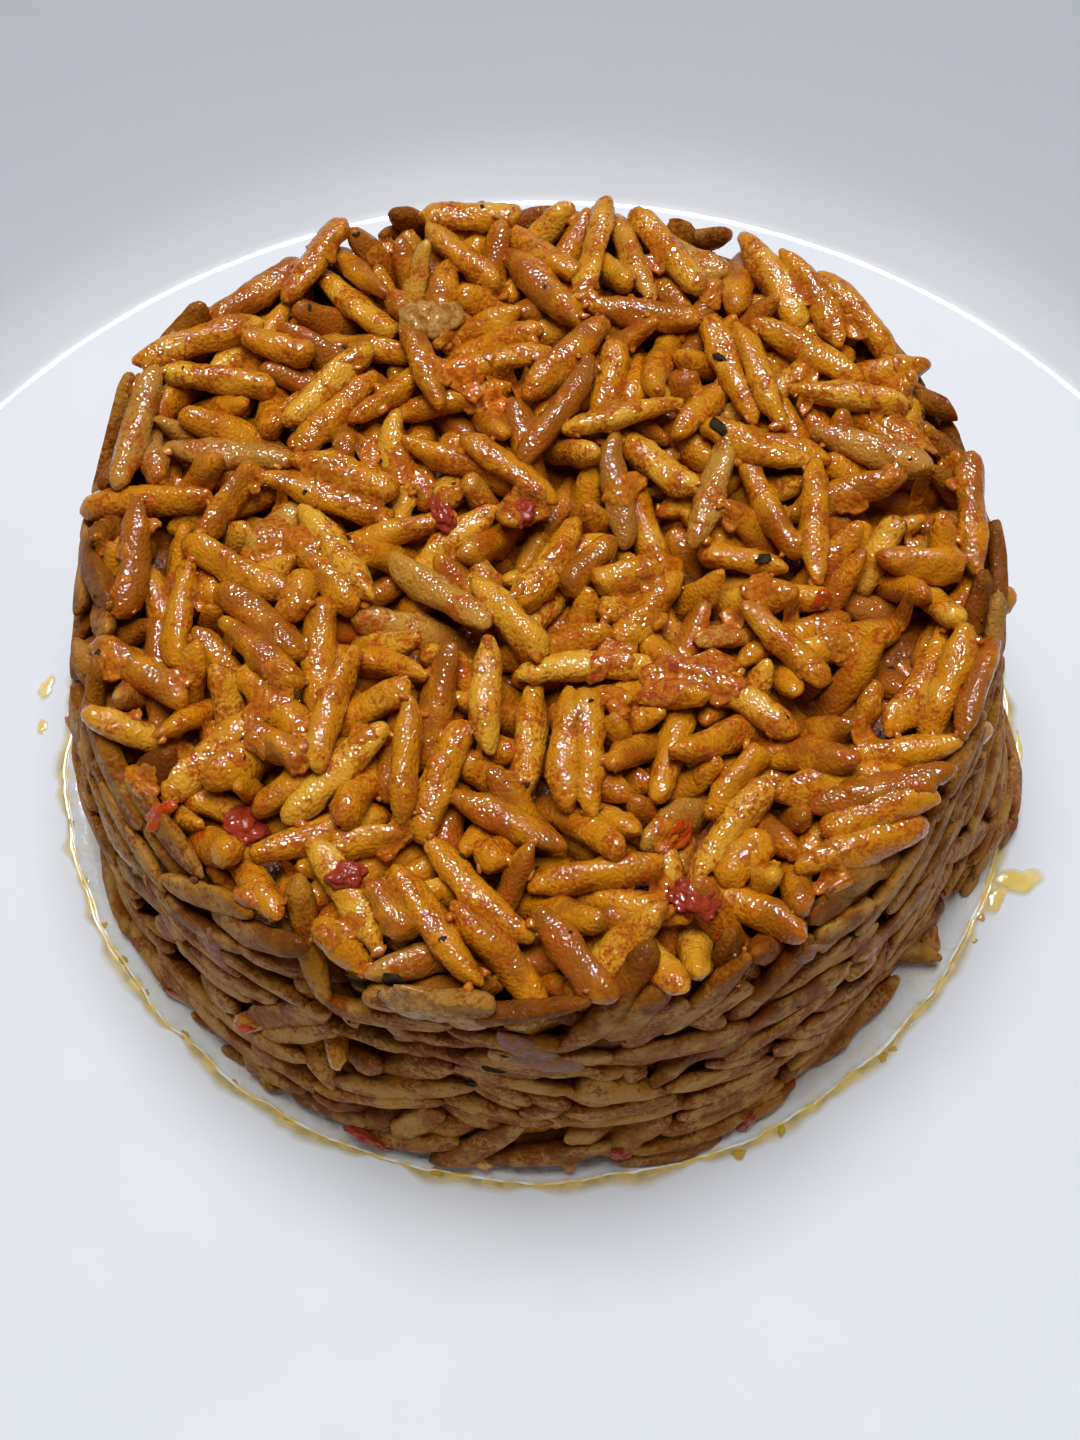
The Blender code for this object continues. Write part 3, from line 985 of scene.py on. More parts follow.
def contact_spots(drum, grains, wanted, random):
    """Places near the surface where two grains touch, with the way out from there."""
    furthest = 12 * MM
    nearly = 1.08
    first, second = near_pairs(grains["centre"], furthest)
    s, _, gap = closest(grains, first, second)
    radius = grains["width"] / 2
    touch = np.linalg.norm(gap, axis=1) < (radius[first] + radius[second]) * nearly
    shallow = (grains["depth"][first] < SIDE_LAYER) & (grains["depth"][second] < SIDE_LAYER)
    index = np.nonzero(touch & shallow)[0]
    index = random.choice(index, size=min(wanted, len(index)), replace=False)
    one = grains["centre"][first[index]] + s[index][:, None] * grains["axis"][first[index]]
    spots = one - gap[index] / 2
    side, top = drum.depths(spots)
    out, _ = side_frame(spots)
    return spots, np.where((side < top)[:, None], out, UP)


def skin_tree(names):
    """The drawn surface of the named pieces, for laying things on."""
    points, triangles, base = [], [], 0
    for name in names:
        mesh = bpy.data.objects[name].data
        mesh.calc_loop_triangles()
        corners = np.zeros(len(mesh.vertices) * 3, np.float32)
        mesh.vertices.foreach_get("co", corners)
        indices = np.zeros(len(mesh.loop_triangles) * 3, np.int32)
        mesh.loop_triangles.foreach_get("vertices", indices)
        points.append(corners.reshape(-1, 3))
        triangles.append(indices.reshape(-1, 3) + base)
        base += len(mesh.vertices)
    return BVHTree.FromPolygons(np.concatenate(points).tolist(), np.concatenate(triangles).tolist())


def draped(tree, spots, outs, sink, reach=3 * MM):
    """How far out from each spot the surface lies, but no deeper than sink below the spots' usual level."""
    levels = []
    for spot, out in zip(spots, outs):
        hit = tree.ray_cast(Vector(spot + out * reach), Vector(-out), 2.5 * reach)[0]
        levels.append(np.nan if hit is None else float(np.dot(np.array(hit) - spot, out)))
    levels = np.array(levels)
    usual = np.nanmedian(levels) if np.isfinite(levels).any() else 0.0
    return np.maximum(np.nan_to_num(levels, nan=usual - sink), usual - sink)


def ragged_oval(rings, steps, waves, turn, length, width, random):
    """A ragged oval's points, ring by ring and the middle last: their places and their shares of the way out.

    waves holds how many times each wave repeats round the edge, and how high it is."""
    theta = FULL_TURN * np.arange(steps) / steps
    share = (np.arange(rings) + 1) / rings
    phase = random.uniform(0, FULL_TURN, len(waves))
    edge = 1 + sum(height * np.sin(times * theta + start) for (times, height), start in zip(waves, phase))
    along = share[:, None] * (edge * np.cos(theta) * length)[None]
    across = share[:, None] * (edge * np.sin(theta) * width)[None]
    x = np.append((along * math.cos(turn) - across * math.sin(turn)).ravel(), 0)
    y = np.append((along * math.sin(turn) + across * math.cos(turn)).ravel(), 0)
    return x, y, np.append(np.repeat(share, steps), 0.0)


def patches_mesh(name, sides, rings, steps):
    """Ragged ovals, each closed, in one mesh. sides holds each one's upper points and then its lower ones."""
    count = rings * steps + 1
    here, beside, beyond, out = round_cells(rings, steps)
    cells = np.stack((here, out, beyond, beside), axis=1)
    edge = (rings - 1) * steps + np.arange(steps)
    after = (rings - 1) * steps + (np.arange(steps) + 1) % steps
    walls = np.stack((edge, edge + count, after + count, after), axis=1)
    middle = fan(count - 1, 0, steps)
    quads = np.concatenate((cells, cells[:, ::-1] + count, walls))
    triangles = np.concatenate((middle, middle[:, ::-1] + count))
    bases = (2 * count * np.arange(len(sides) // 2))[:, None, None]
    quads, triangles = (quads + bases).reshape(-1, 4), (triangles + bases).reshape(-1, 3)
    return joined_mesh(name, np.concatenate(sides), quads, triangles)


def softened(levels, rings, steps):
    """Levels of an oval's points, evened out with their neighbours' but hardly sunk into what lies under."""
    middle = levels[-1]
    soft = levels[:-1].reshape(rings, steps)
    for _ in range(3):
        inner_row = np.concatenate((np.full((1, steps), middle), soft[:-1]))
        outer_row = np.concatenate((soft[1:], soft[-1:]))
        soft = (2 * soft + np.roll(soft, 1, axis=1) + np.roll(soft, -1, axis=1) + inner_row + outer_row) / 6
    return np.maximum(np.append(soft.ravel(), middle), levels - 0.02 * MM)


def film_mesh(name, tree, origin, places, random):
    """Patches of paste or skin that hug what lies under them.

    places holds, for each patch: its middle, the way out, its turn, its two half sizes and its thickness."""
    rings, steps = 7, 22
    waves = ((2, 0.2), (3, 0.16), (7, 0.09))
    skewed = np.array((0.31, 0.87, 0.38))
    deepest, curl, body = 0.7 * MM, 0.07 * MM, 0.25 * MM
    sides = []
    for spot, out, turn, length, width, thickness in places:
        first = unit(np.cross(out, skewed))
        second = np.cross(out, first)
        x, y, rim = ragged_oval(rings, steps, waves, turn, length, width, random)
        feet = spot + first * x[:, None] + second * y[:, None] + origin
        levels = draped(tree, feet, np.repeat(out[None], len(feet), axis=0), deepest)
        bumps = wavy(feet, 1.0 * MM, int(random.integers(1e6))) * 0.3 * thickness
        crown = (thickness + bumps) * np.sqrt(np.clip(1.05 - rim**2, 0, 1))
        level = softened(levels, rings, steps) + crown - curl * rim**4
        sides += [feet + out * level[:, None], feet + out * (level - body)[:, None]]
    return patches_mesh(name, sides, rings, steps)


# ---------------------------------------------------------------- the plate


class Turtle:
    """Walks an outline in the (radius, height) plane. A left turn is positive."""

    def __init__(self, radius, height):
        self.radius = radius
        self.height = height
        self.heading = 0.0
        self.points = [(radius, height)]

    def line(self, length, steps=1):
        for _ in range(steps):
            self.radius += length / steps * math.cos(self.heading)
            self.height += length / steps * math.sin(self.heading)
            self.points.append((self.radius, self.height))

    def arc(self, radius, turn, steps):
        side = math.copysign(1.0, turn)
        centre_r = self.radius - side * radius * math.sin(self.heading)
        centre_h = self.height + side * radius * math.cos(self.heading)
        start = self.heading
        for step in range(1, steps + 1):
            self.heading = start + turn * step / steps
            self.radius = centre_r + side * radius * math.sin(self.heading)
            self.height = centre_h - side * radius * math.cos(self.heading)
            self.points.append((self.radius, self.height))


def plate_section(plate):
    """From the middle of the floor over the rim to the middle of the underside."""
    right_angle = math.pi / 2
    cut = plate.knee_radius * math.tan(plate.knee_angle / 2)
    under_knee = plate.knee_radius + plate.thickness
    floor_height = plate.foot_height + plate.thickness
    walk = Turtle(0.0, floor_height)
    walk.line(plate.floor_radius - cut, 12)
    walk.arc(plate.knee_radius, plate.knee_angle, 12)
    walk.line(plate.knee_rise - cut)
    walk.arc(plate.wall_radius, plate.wall_angle, 18)
    walk.arc(plate.thickness / 2, -math.pi, 12)
    walk.arc(plate.wall_radius + plate.thickness, -plate.wall_angle, 18)
    walk.line(plate.knee_rise - cut)
    walk.arc(under_knee, -plate.knee_angle, 6)
    walk.line(walk.radius - plate.foot_radius - plate.foot_fillet)
    walk.arc(plate.foot_fillet, right_angle, 5)
    walk.line(walk.height - plate.foot_fillet)
    walk.arc(plate.foot_fillet, -right_angle, 5)
    walk.line(plate.foot_width - 2 * plate.foot_fillet)
    walk.arc(plate.foot_fillet, -right_angle, 5)
    walk.line(plate.foot_height - 2 * plate.foot_fillet)
    walk.arc(plate.foot_fillet, right_angle, 5)
    walk.line(walk.radius, 6)
    return walk.points


def turned_mesh(name, section, steps):
    """Turns a section that starts and ends on the vertical axis into a closed mesh."""
    inner = np.array(section[1:-1])
    theta = FULL_TURN * np.arange(steps) / steps
    rows = len(inner)
    poles = np.array(((0, 0, section[0][1]), (0, 0, section[-1][1])))
    points = np.concatenate([circle(theta, radius, height) for radius, height in inner] + [poles])
    here, beside, beyond, out = round_cells(rows, steps)
    quads = np.stack((here, out, beyond, beside), axis=1)
    first_cap = fan(rows * steps, 0, steps)
    last_cap = fan(rows * steps + 1, (rows - 1) * steps, steps, turned=True)
    return joined_mesh(name, points, quads, np.concatenate((first_cap, last_cap)))


# ---------------------------------------------------------------- oil


# How far the underside of the oil reaches into the glaze, so that no gap shows under it.
UNDER_OIL = -0.05 * MM


def oil_line(settings, theta):
    """The radius of the oil's edge by direction: nearly round, a little further out on the left."""
    line = settings.ring_radius + 0.7 * MM * np.exp(-(((theta - math.radians(197)) / 0.42) ** 2))
    around = circle(theta, settings.ring_radius)
    line = line + 0.22 * MM * wavy(around, 9 * MM, settings.seed)
    return line + 0.07 * MM * wavy(around, 2.2 * MM, settings.seed + 1)


def ribbon_mesh(name, origin, theta, rows):
    """A closed ribbon round the drum. rows holds radii and heights by direction, outwards and back under."""
    points = np.concatenate([circle(theta, radius, height) for radius, height in rows])
    here, beside, beyond, out = round_cells(len(rows) + 1, len(theta))
    quads = np.stack((here, out, beyond, beside), axis=1) % len(points)
    return joined_mesh(name, points + origin, quads, np.zeros((0, 3)))


def film_rows(settings, theta, edge):
    """The thin film from under the rice out to the oil's edge, in rows a millimetre apart."""
    inside = 9
    depth = 0.14 * MM * (1 + 0.5 * wavy(circle(theta, 1.0), 0.2, settings.seed))
    rows = [(edge - inside * MM, 0.06 * MM)]
    for step in range(inside):
        radius = edge - (inside - 1 - step) * MM
        ripple = wavy(circle(theta, radius), 2.6 * MM, settings.seed + 2)
        rows.append((radius, depth * (0.8 + 0.5 * ripple)))
    return rows + [(edge, UNDER_OIL), (edge - inside * MM, UNDER_OIL)]


def bead_rows(settings, theta, edge):
    """The round bead at the oil's edge, wider in some places than in others."""
    wide = settings.ring_width * (1 + 0.5 * wavy(circle(theta, edge), 4 * MM, settings.seed + 5))
    rows = []
    for across in np.linspace(-1, 1, 9):
        rows.append((edge + across * wide / 2, settings.ring_height * math.sqrt(max(0.0, 1 - across**2))))
    return rows + [(edge, UNDER_OIL)]


# How solid the skirt is along each of its rows, from the bead outwards and back under.
SKIRT_BODY = (0.75, 0.65, 0.4, 0.15, 0.0, 0.0, 0.75)


def skirt_rows(settings, theta, edge):
    """The thin oil that spreads outside the bead, further in some places than in others."""
    start, height = edge + 0.1 * MM, 0.05 * MM
    spread = wavy(circle(theta, edge), 7 * MM, settings.seed + 6)
    skirt = settings.skirt * np.clip(0.75 + 0.6 * spread, 0.2, 2)
    rows = [(start + skirt * share, height) for share in (0.0, 0.25, 0.5, 0.75, 1.0)]
    return rows + [(start + skirt, UNDER_OIL), (edge, UNDER_OIL)]


def puddle_mesh(name, origin, places, height, random):
    """Flat drops on the plate. places holds each one's direction, radius, turn and two half sizes."""
    rings, steps = 5, 26
    waves = ((2, 0.18), (3, 0.14), (6, 0.06))
    sides, body = [], []
    for direction, radius, turn, length, width in places:
        x, y, rim = ragged_oval(rings, steps, waves, turn, length, width, random)
        level = height * min(1.0, width / (1 * MM)) * np.sqrt(np.clip(1 - rim**2, 0, 1))
        middle = np.array((radius * math.cos(direction), radius * math.sin(direction), 0))
        upper = np.stack((x, y, level), axis=1) + middle
        lower = upper.copy()
        lower[:, 2] = UNDER_OIL
        sides += [upper + origin, lower + origin]
        body += [0.9 - 0.9 * smoothstep(0.55, 1.0, rim)] * 2
    mesh = patches_mesh(name, sides, rings, steps)
    point_values(mesh, "body", np.concatenate(body))
    return mesh


# ---------------------------------------------------------------- shared state

built = {}


def drum():
    if "drum" not in built:
        built["drum"] = Drum("rice_mound")
    return built["drum"]


def plate_floor():
    """The height of the plate's floor: the foot and the floor's thickness."""
    plate = bpy.context.scene.jollof_plate
    return plate.foot_height + plate.thickness


def packed_grains():
    """The settled grains, worked out once."""
    if "grains" not in built:
        settings = bpy.context.scene.jollof_rice
        random = np.random.default_rng(settings.seed)
        grains = scatter(drum(), settings, random)
        grains = settle(drum(), grains, settings, 170)
        grains = thinned(drum(), grains, settings, random)
        grains = with_foot_grains(grains, settings)
        built["grains"] = finish_grains(drum(), grains, settings, random)
    return built["grains"]


# ---------------------------------------------------------------- operators


class JOLLOF_OT_plate(bpy.types.Operator):
    """Turn the deep white plate"""

    bl_idname = "jollof.plate"
    bl_label = "Plate"

    def execute(self, context):
        settings = context.scene.jollof_plate
        mesh = turned_mesh("plate_body", plate_section(settings), 288)
        radius = np.array([math.hypot(vertex.co.x, vertex.co.y) for vertex in mesh.vertices])
        # Painted shade: wall marks where the glaze darkens, from the knee outwards, standing in for the shade
        # on the wall.
        point_values(mesh, "wall", smoothstep(settings.floor_radius, settings.floor_radius + 8 * MM, radius))
        add_piece("plate_body", mesh, glaze_material(settings), "plate")
        return {"FINISHED"}


class JOLLOF_OT_heart(bpy.types.Operator):
    """Make the dark heart of the drum, which shows between the grains; its dark paste colour is partly
    painted shade of the deep gaps
    """

    bl_idname = "jollof.heart"
    bl_label = "Heart of the drum"

    def execute(self, context):
        settings = context.scene.jollof_rice
        mesh = core_mesh(drum(), HEART_DEPTH, settings.seed)
        # Partly painted shade: the heart's dark paste colour and its darker half stand in for the shade deep
        # between the grains.
        dark = tuple(0.5 * part for part in settings.heart)
        material = paste_material("rice_heart", settings.heart, dark, 0.5, 0.2 * MM, 0.2)
        add_piece("rice_heart", mesh, material, "rice_mound")
        return {"FINISHED"}


class JOLLOF_OT_grains(bpy.types.Operator):
    """Pack the drum's shell with grains, and draw those on top, at the side and deeper in"""

    bl_idname = "jollof.grains"
    bl_label = "Grains"

    def execute(self, context):
        settings = context.scene.jollof_rice
        grains = packed_grains()
        random = np.random.default_rng(settings.seed + 1)
        top_palette = (settings.brown, settings.golden, settings.pale)
        # Painted shade: the side palette and side paste are darker copies of the top's, for the side in
        # shade; the side's lower gloss is real.
        side_palette = (settings.side_brown, settings.side_tan, settings.side_pale)
        wet = grain_material("oily_grain", settings, top_palette, settings.paste, 1.0)
        pressed = grain_material("pressed_shaded_grain", settings, side_palette, settings.side_paste, 0.15)
        depth, on_top = grains["depth"], grains["on_top"]
        deeper = np.where(on_top, depth >= UNDER_LAYER, depth >= SIDE_LAYER)
        layers = (
            ("rice_top_grains", on_top & (depth < TOP_LAYER), 25, 18, False, wet),
            ("rice_under_grains", on_top & (depth >= TOP_LAYER) & (depth < UNDER_LAYER), 15, 12, False, wet),
            ("rice_side_grains", ~on_top & (depth < SIDE_LAYER), 15, 10, True, pressed),
            ("rice_inner_grains", deeper, 9, 8, False, wet),
        )
        for name, within, rings, around, moulded, material in layers:
            chosen = np.nonzero(within)[0]
            if len(chosen) == 0:
                raise RuntimeError(f"the drum's shell holds nothing for {name}")
            add_grains(name, drum(), grains, chosen, rings, around, moulded, material, settings, random)
        return {"FINISHED"}


GRAIN_PIECES = ("rice_top_grains", "rice_under_grains", "rice_side_grains", "rice_inner_grains")


def skin():
    """The drawn grains' surface, worked out once."""
    if "skin" not in built:
        built["skin"] = skin_tree(GRAIN_PIECES)
    return built["skin"]


def film_places(rows):
    """Places for film_mesh, from rows of direction, share, on top, turn, two half sizes and thickness."""
    places = []
    for direction, share, on_top, turn, *sizes in rows:
        spot, out = surface_spot(drum(), direction, share, on_top, 0)
        places.append((spot, out, math.radians(turn), *(size * MM for size in sizes)))
    return places


class JOLLOF_OT_paste(bpy.types.Operator):
    """Set crumbs of tomato paste where grains touch, and lay films of it over the top grains"""

    bl_idname = "jollof.paste"
    bl_label = "Tomato paste"

    def execute(self, context):
        settings = context.scene.jollof_toppings
        rice = context.scene.jollof_rice
        random = np.random.default_rng(settings.seed)
        spots, normals = contact_spots(drum(), packed_grains(), settings.crumb_count, random)
        count = len(spots)
        on_top = normals[:, 2] > 0.5
        lift = np.where(on_top, random.uniform(0.0, 0.9, count), random.uniform(-0.7, 0.1, count))
        spots = spots + normals * (lift * MM)[:, None]
        size = settings.crumb_size * random.lognormal(0, 0.4, (count, 1))
        sizes = size * random.uniform((0.8, 0.6, 0.4), (1.9, 1.1, 0.8), (count, 3))
        frames = frames_on(normals, random)
        for name, chosen, first, second, coat in (
            ("paste_crumbs", on_top, rice.paste, settings.film, 0.9),
            # Painted shade: crumbs on the side take the side's darker paste and brown.
            ("side_crumbs", ~on_top, rice.side_paste, rice.side_brown, 0.1),
        ):
            parts = (spots[chosen], frames[chosen], sizes[chosen])
            mesh = lumps_mesh(name, drum().origin, *parts, 2, 0.35, random)
            add_piece(name, mesh, paste_material(name, first, second, 0.4, 0.12 * MM, coat))
        shares = 0.97 * np.sqrt(random.random(settings.film_count))
        turns = random.uniform(0, FULL_TURN, settings.film_count)
        places = []
        for share, turn in zip(shares, turns):
            spot, out = surface_spot(drum(), math.degrees(turn), share, True, 0)
            length = settings.film_size * random.lognormal(0, 0.35)
            facing = random.uniform(0, FULL_TURN)
            width = length * random.uniform(0.45, 0.9)
            places.append((spot, out, facing, length, width, random.uniform(0.08, 0.2) * MM))
        mesh = film_mesh("paste_films", skin(), drum().origin, places, random)
        material = paste_material("paste_films", settings.film, rice.paste, 0.3, 0.14 * MM, 1.0)
        add_piece("paste_films", mesh, material)
        return {"FINISHED"}


# Larger pieces on the rice: direction in degrees from +X, share of the top's radius or of the height,
# whether on top, half length, half width and half height in millimetres.
TOMATO_BITS = (
    (-136, 0.85, True, 1.7, 1.5, 0.8),
    (-118, 0.84, True, 1.5, 1.0, 0.7),
    (-70, 0.86, True, 1.9, 1.4, 0.6),
    (151, 0.23, True, 1.5, 0.9, 0.7),
    (105, 0.10, True, 1.3, 1.0, 0.6),
    (-111, 0.05, False, 2.2, 0.45, 0.5),
    (-82, 0.09, False, 1.0, 0.8, 0.6),
    (-67, 0.04, False, 1.6, 0.5, 0.5),
)

# Skins that hug the grains: direction, share, whether on top, turn in degrees, half length, half width and
# thickness in millimetres.
SCARLET_SKINS = (
    (-67, 0.70, True, 80, 1.9, 0.7, 0.3),
    (43, 0.84, True, 20, 1.2, 0.6, 0.3),
    (-144, 0.97, True, 70, 1.3, 0.8, 0.3),
    (-12, 0.62, True, 40, 1.0, 0.5, 0.3),
    (-127, 0.35, False, 10, 1.4, 0.8, 0.3),
)
ORANGE_SKINS = (
    (109, 0.49, True, 150, 3.2, 1.3, 0.35),
    (101, 0.42, True, 130, 1.8, 0.9, 0.3),
)
PINK_SKINS = (
    (-46, 0.43, True, 40, 3.6, 2.4, 0.35),
    (-43, 0.50, True, 10, 2.2, 1.6, 0.3),
    (103, 0.12, True, 0, 2.2, 1.8, 0.3),
    (-60, 0.30, True, 70, 2.4, 1.2, 0.25),
)
ONIONS = (
    (110, 0.66, True, 60, 3.0, 1.9, 0.4),
    (-103, 0.89, False, 0, 3.4, 2.2, 0.4),
    (-152, 0.55, False, 40, 3.6, 2.8, 0.4),
    (-52, 0.55, False, 60, 2.4, 1.6, 0.35),
)
MAUVE_ONIONS = (
    (-91, 0.70, False, 0, 4.2, 1.7, 0.3),
    (-131, 0.66, False, 60, 3.0, 0.8, 0.3),
    (-58, 0.80, False, 30, 1.9, 1.1, 0.3),
)


class JOLLOF_OT_tomato(bpy.types.Operator):
    """Lay pieces of cooked tomato, tomato skin and pepper on the rice"""

    bl_idname = "jollof.tomato"
    bl_label = "Tomato and pepper"

    def execute(self, context):
        settings = context.scene.jollof_toppings
        random = np.random.default_rng(settings.seed + 1)
        spots, normals, sizes = [], [], []
        for direction, share, on_top, *size in TOMATO_BITS:
            spot, normal = surface_spot(drum(), direction, share, on_top, -0.1 * MM)
            level = draped(skin(), [spot + drum().origin], [normal], 0.0)[0]
            spots.append(spot + normal * level)
            normals.append(normal)
            sizes.append(np.array(size) * MM)
        frames = frames_on(np.array(normals), random)
        parts = (np.array(spots), frames, np.array(sizes))
        mesh = lumps_mesh("tomato_bits", drum().origin, *parts, 4, 0.35, random)
        material = paste_material("cooked_tomato", settings.red, settings.magenta, 0.25, 0.16 * MM, 0.7)
        add_piece("tomato_bits", mesh, material)
        rice = context.scene.jollof_rice
        kinds = (
            ("tomato_skins", SCARLET_SKINS, settings.scarlet, rice.paste, 0.9),
            ("pepper_skins", ORANGE_SKINS, settings.orange, rice.paste, 1.0),
            ("stewed_tomato", PINK_SKINS, settings.film, settings.red, 0.8),
        )
        for name, rows, first, second, coat in kinds:
            mesh = film_mesh(name, skin(), drum().origin, film_places(rows), random)
            add_piece(name, mesh, paste_material(name, first, second, 0.26, 0.14 * MM, coat))
        return {"FINISHED"}


class JOLLOF_OT_onion(bpy.types.Operator):
    """Lay soft pieces of onion on the rice and against its side"""

    bl_idname = "jollof.onion"
    bl_label = "Onion"

    def execute(self, context):
        settings = context.scene.jollof_toppings
        random = np.random.default_rng(settings.seed + 2)
        rice = context.scene.jollof_rice
        kinds = (
            ("soft_onion", ONIONS, settings.onion, 0.4, 0.08 * MM, 0.3),
            ("pressed_onion", MAUVE_ONIONS, settings.mauve, 0.5, 0.1 * MM, 0.1),
        )
        for name, rows, colour, roughness, bump, coat in kinds:
            mesh = film_mesh(name, skin(), drum().origin, film_places(rows), random)
            add_piece(name, mesh, paste_material(name, colour, rice.side_tan, roughness, bump, coat))
        return {"FINISHED"}


# Herb pieces that show one by one: direction, share, whether on top, and their radius in millimetres.
HERBS = (
    (-103, 0.43, False, 1.5),
    (-99, 0.42, False, 0.8),
    (-96, 0.60, False, 0.9),
    (-108, 0.90, False, 1.3),
    (-112, 0.86, False, 0.9),
    (-118, 0.25, False, 0.8),
    (127, 0.70, True, 0.5),
    (-167, 0.95, True, 0.5),
    (-3, 0.49, True, 0.6),
    (-34, 0.45, True, 0.5),
    (36, 0.51, True, 0.9),
    (49, 0.65, True, 0.6),
)


class JOLLOF_OT_herbs(bpy.types.Operator):
    """Sprinkle dark flakes of herb over the rice"""

    bl_idname = "jollof.herbs"
    bl_label = "Herbs"

    def execute(self, context):
        settings = context.scene.jollof_toppings
        random = np.random.default_rng(settings.seed + 3)
        rows = list(HERBS)
        for _ in range(settings.speck_count):
            on_top = random.random() < 0.5
            share = math.sqrt(random.random()) if on_top else random.uniform(0.05, 0.95)
            rows.append((random.uniform(0, 360), share, on_top, random.uniform(0.16, 0.34)))
        spots, normals, sizes = [], [], []
        for direction, share, on_top, radius in rows:
            spot, normal = surface_spot(drum(), direction, min(share, 0.95), on_top, 0)
            level = draped(skin(), [spot + drum().origin], [normal], 0.0)[0]
            if level == 0:
                continue
            spots.append(spot + normal * level)
            normals.append(normal)
            sizes.append(np.array((1.2, 0.7, 0.22)) * radius * MM)
        frames = frames_on(np.array(normals), random)
        parts = (np.array(spots), frames, np.array(sizes))
        mesh = lumps_mesh("herb_flakes", drum().origin, *parts, 2, 0.4, random)
        paler = tuple(2.5 * part for part in settings.herb)
        material = paste_material("dried_herb", settings.herb, paler, 0.65, 0.15 * MM, 0.0)
        add_piece("herb_flakes", mesh, material)
        return {"FINISHED"}


# Puddles of oil outside its edge: direction, radius in millimetres, turn, half length and half width.
YELLOW_PUDDLES = (
    (174, 47.4, 60, 1.3, 0.8),
    (179, 47.2, 100, 0.9, 0.5),
    (-22, 46.6, 20, 2.3, 1.5),
    (-25, 45.2, 50, 1.6, 0.9),
    (-9, 44.2, 84, 2.6, 0.35),
    (-5, 45.0, 86, 1.8, 0.3),
    (-143, 42.3, 130, 1.1, 0.6),
    (-150, 42.9, 120, 1.6, 0.5),
    (-139, 42.4, 150, 0.7, 0.4),
)
ORANGE_DROPS = (
    (-69, 44.9, 10, 0.8, 0.5),
    (-63.5, 44.5, 100, 0.7, 0.45),
    (-49, 44.6, 40, 0.55, 0.35),
    (-47.5, 44.7, 10, 0.4, 0.3),
    (-168, 44.6, 110, 0.5, 0.35),
    (-160, 44.5, 120, 0.6, 0.4),
    (-154, 44.4, 120, 0.55, 0.45),
    (-149, 44.3, 120, 0.6, 0.45),
    (-144, 44.1, 120, 0.5, 0.4),
    (-137, 43.9, 120, 0.6, 0.35),
    (-129, 44.0, 130, 0.7, 0.4),
    (-121, 44.0, 150, 0.5, 0.35),
    (-103, 43.9, 170, 0.7, 0.4),
    (-28, 44.6, 60, 0.5, 0.3),
    (-31, 44.9, 60, 0.35, 0.25),
)


class JOLLOF_OT_oil(bpy.types.Operator):
    """Pool oil round the foot of the rice, with a bead at its edge and drops beyond it"""

    bl_idname = "jollof.oil"
    bl_label = "Oil"

    def execute(self, context):
        settings = context.scene.jollof_oil
        random = np.random.default_rng(settings.seed)
        theta = FULL_TURN * np.arange(720) / 720
        edge = oil_line(settings, theta)
        origin = np.array((drum().origin[0], drum().origin[1], plate_floor()))
        for name, rows, colours, bump in (
            ("oil_film", film_rows(settings, theta, edge), (settings.film, settings.warm_film), 0.3 * MM),
            # Painted highlight: the bead is blotched with a near-white colour that stands in for the bright
            # line along the oil's edge.
            ("oil_bead", bead_rows(settings, theta, edge), (settings.crest_highlight, settings.yellow), 0.12 * MM),
        ):
            mesh = ribbon_mesh(name, origin, theta, rows)
            add_piece(name, mesh, oil_material(name, *colours, bump))
        mesh = ribbon_mesh("oil_skirt", origin, theta, skirt_rows(settings, theta, edge))
        point_values(mesh, "body", np.repeat(SKIRT_BODY, len(theta)))
        material = oil_material("oil_skirt", settings.mustard, settings.yellow, 0.05 * MM, fades=True)
        add_piece("oil_skirt", mesh, material)
        for name, rows, colours, height in (
            ("oil_puddles", YELLOW_PUDDLES, (settings.yellow, settings.pale_yellow), 0.2 * MM),
            ("oil_drops", ORANGE_DROPS, (settings.orange, settings.mustard), 0.4 * MM),
        ):
            places = [(math.radians(d), r * MM, math.radians(t), a * MM, b * MM) for d, r, t, a, b in rows]
            mesh = puddle_mesh(name, origin, places, height, random)
            add_piece(name, mesh, oil_material(name, *colours, 0.05 * MM, fades=True))
        return {"FINISHED"}


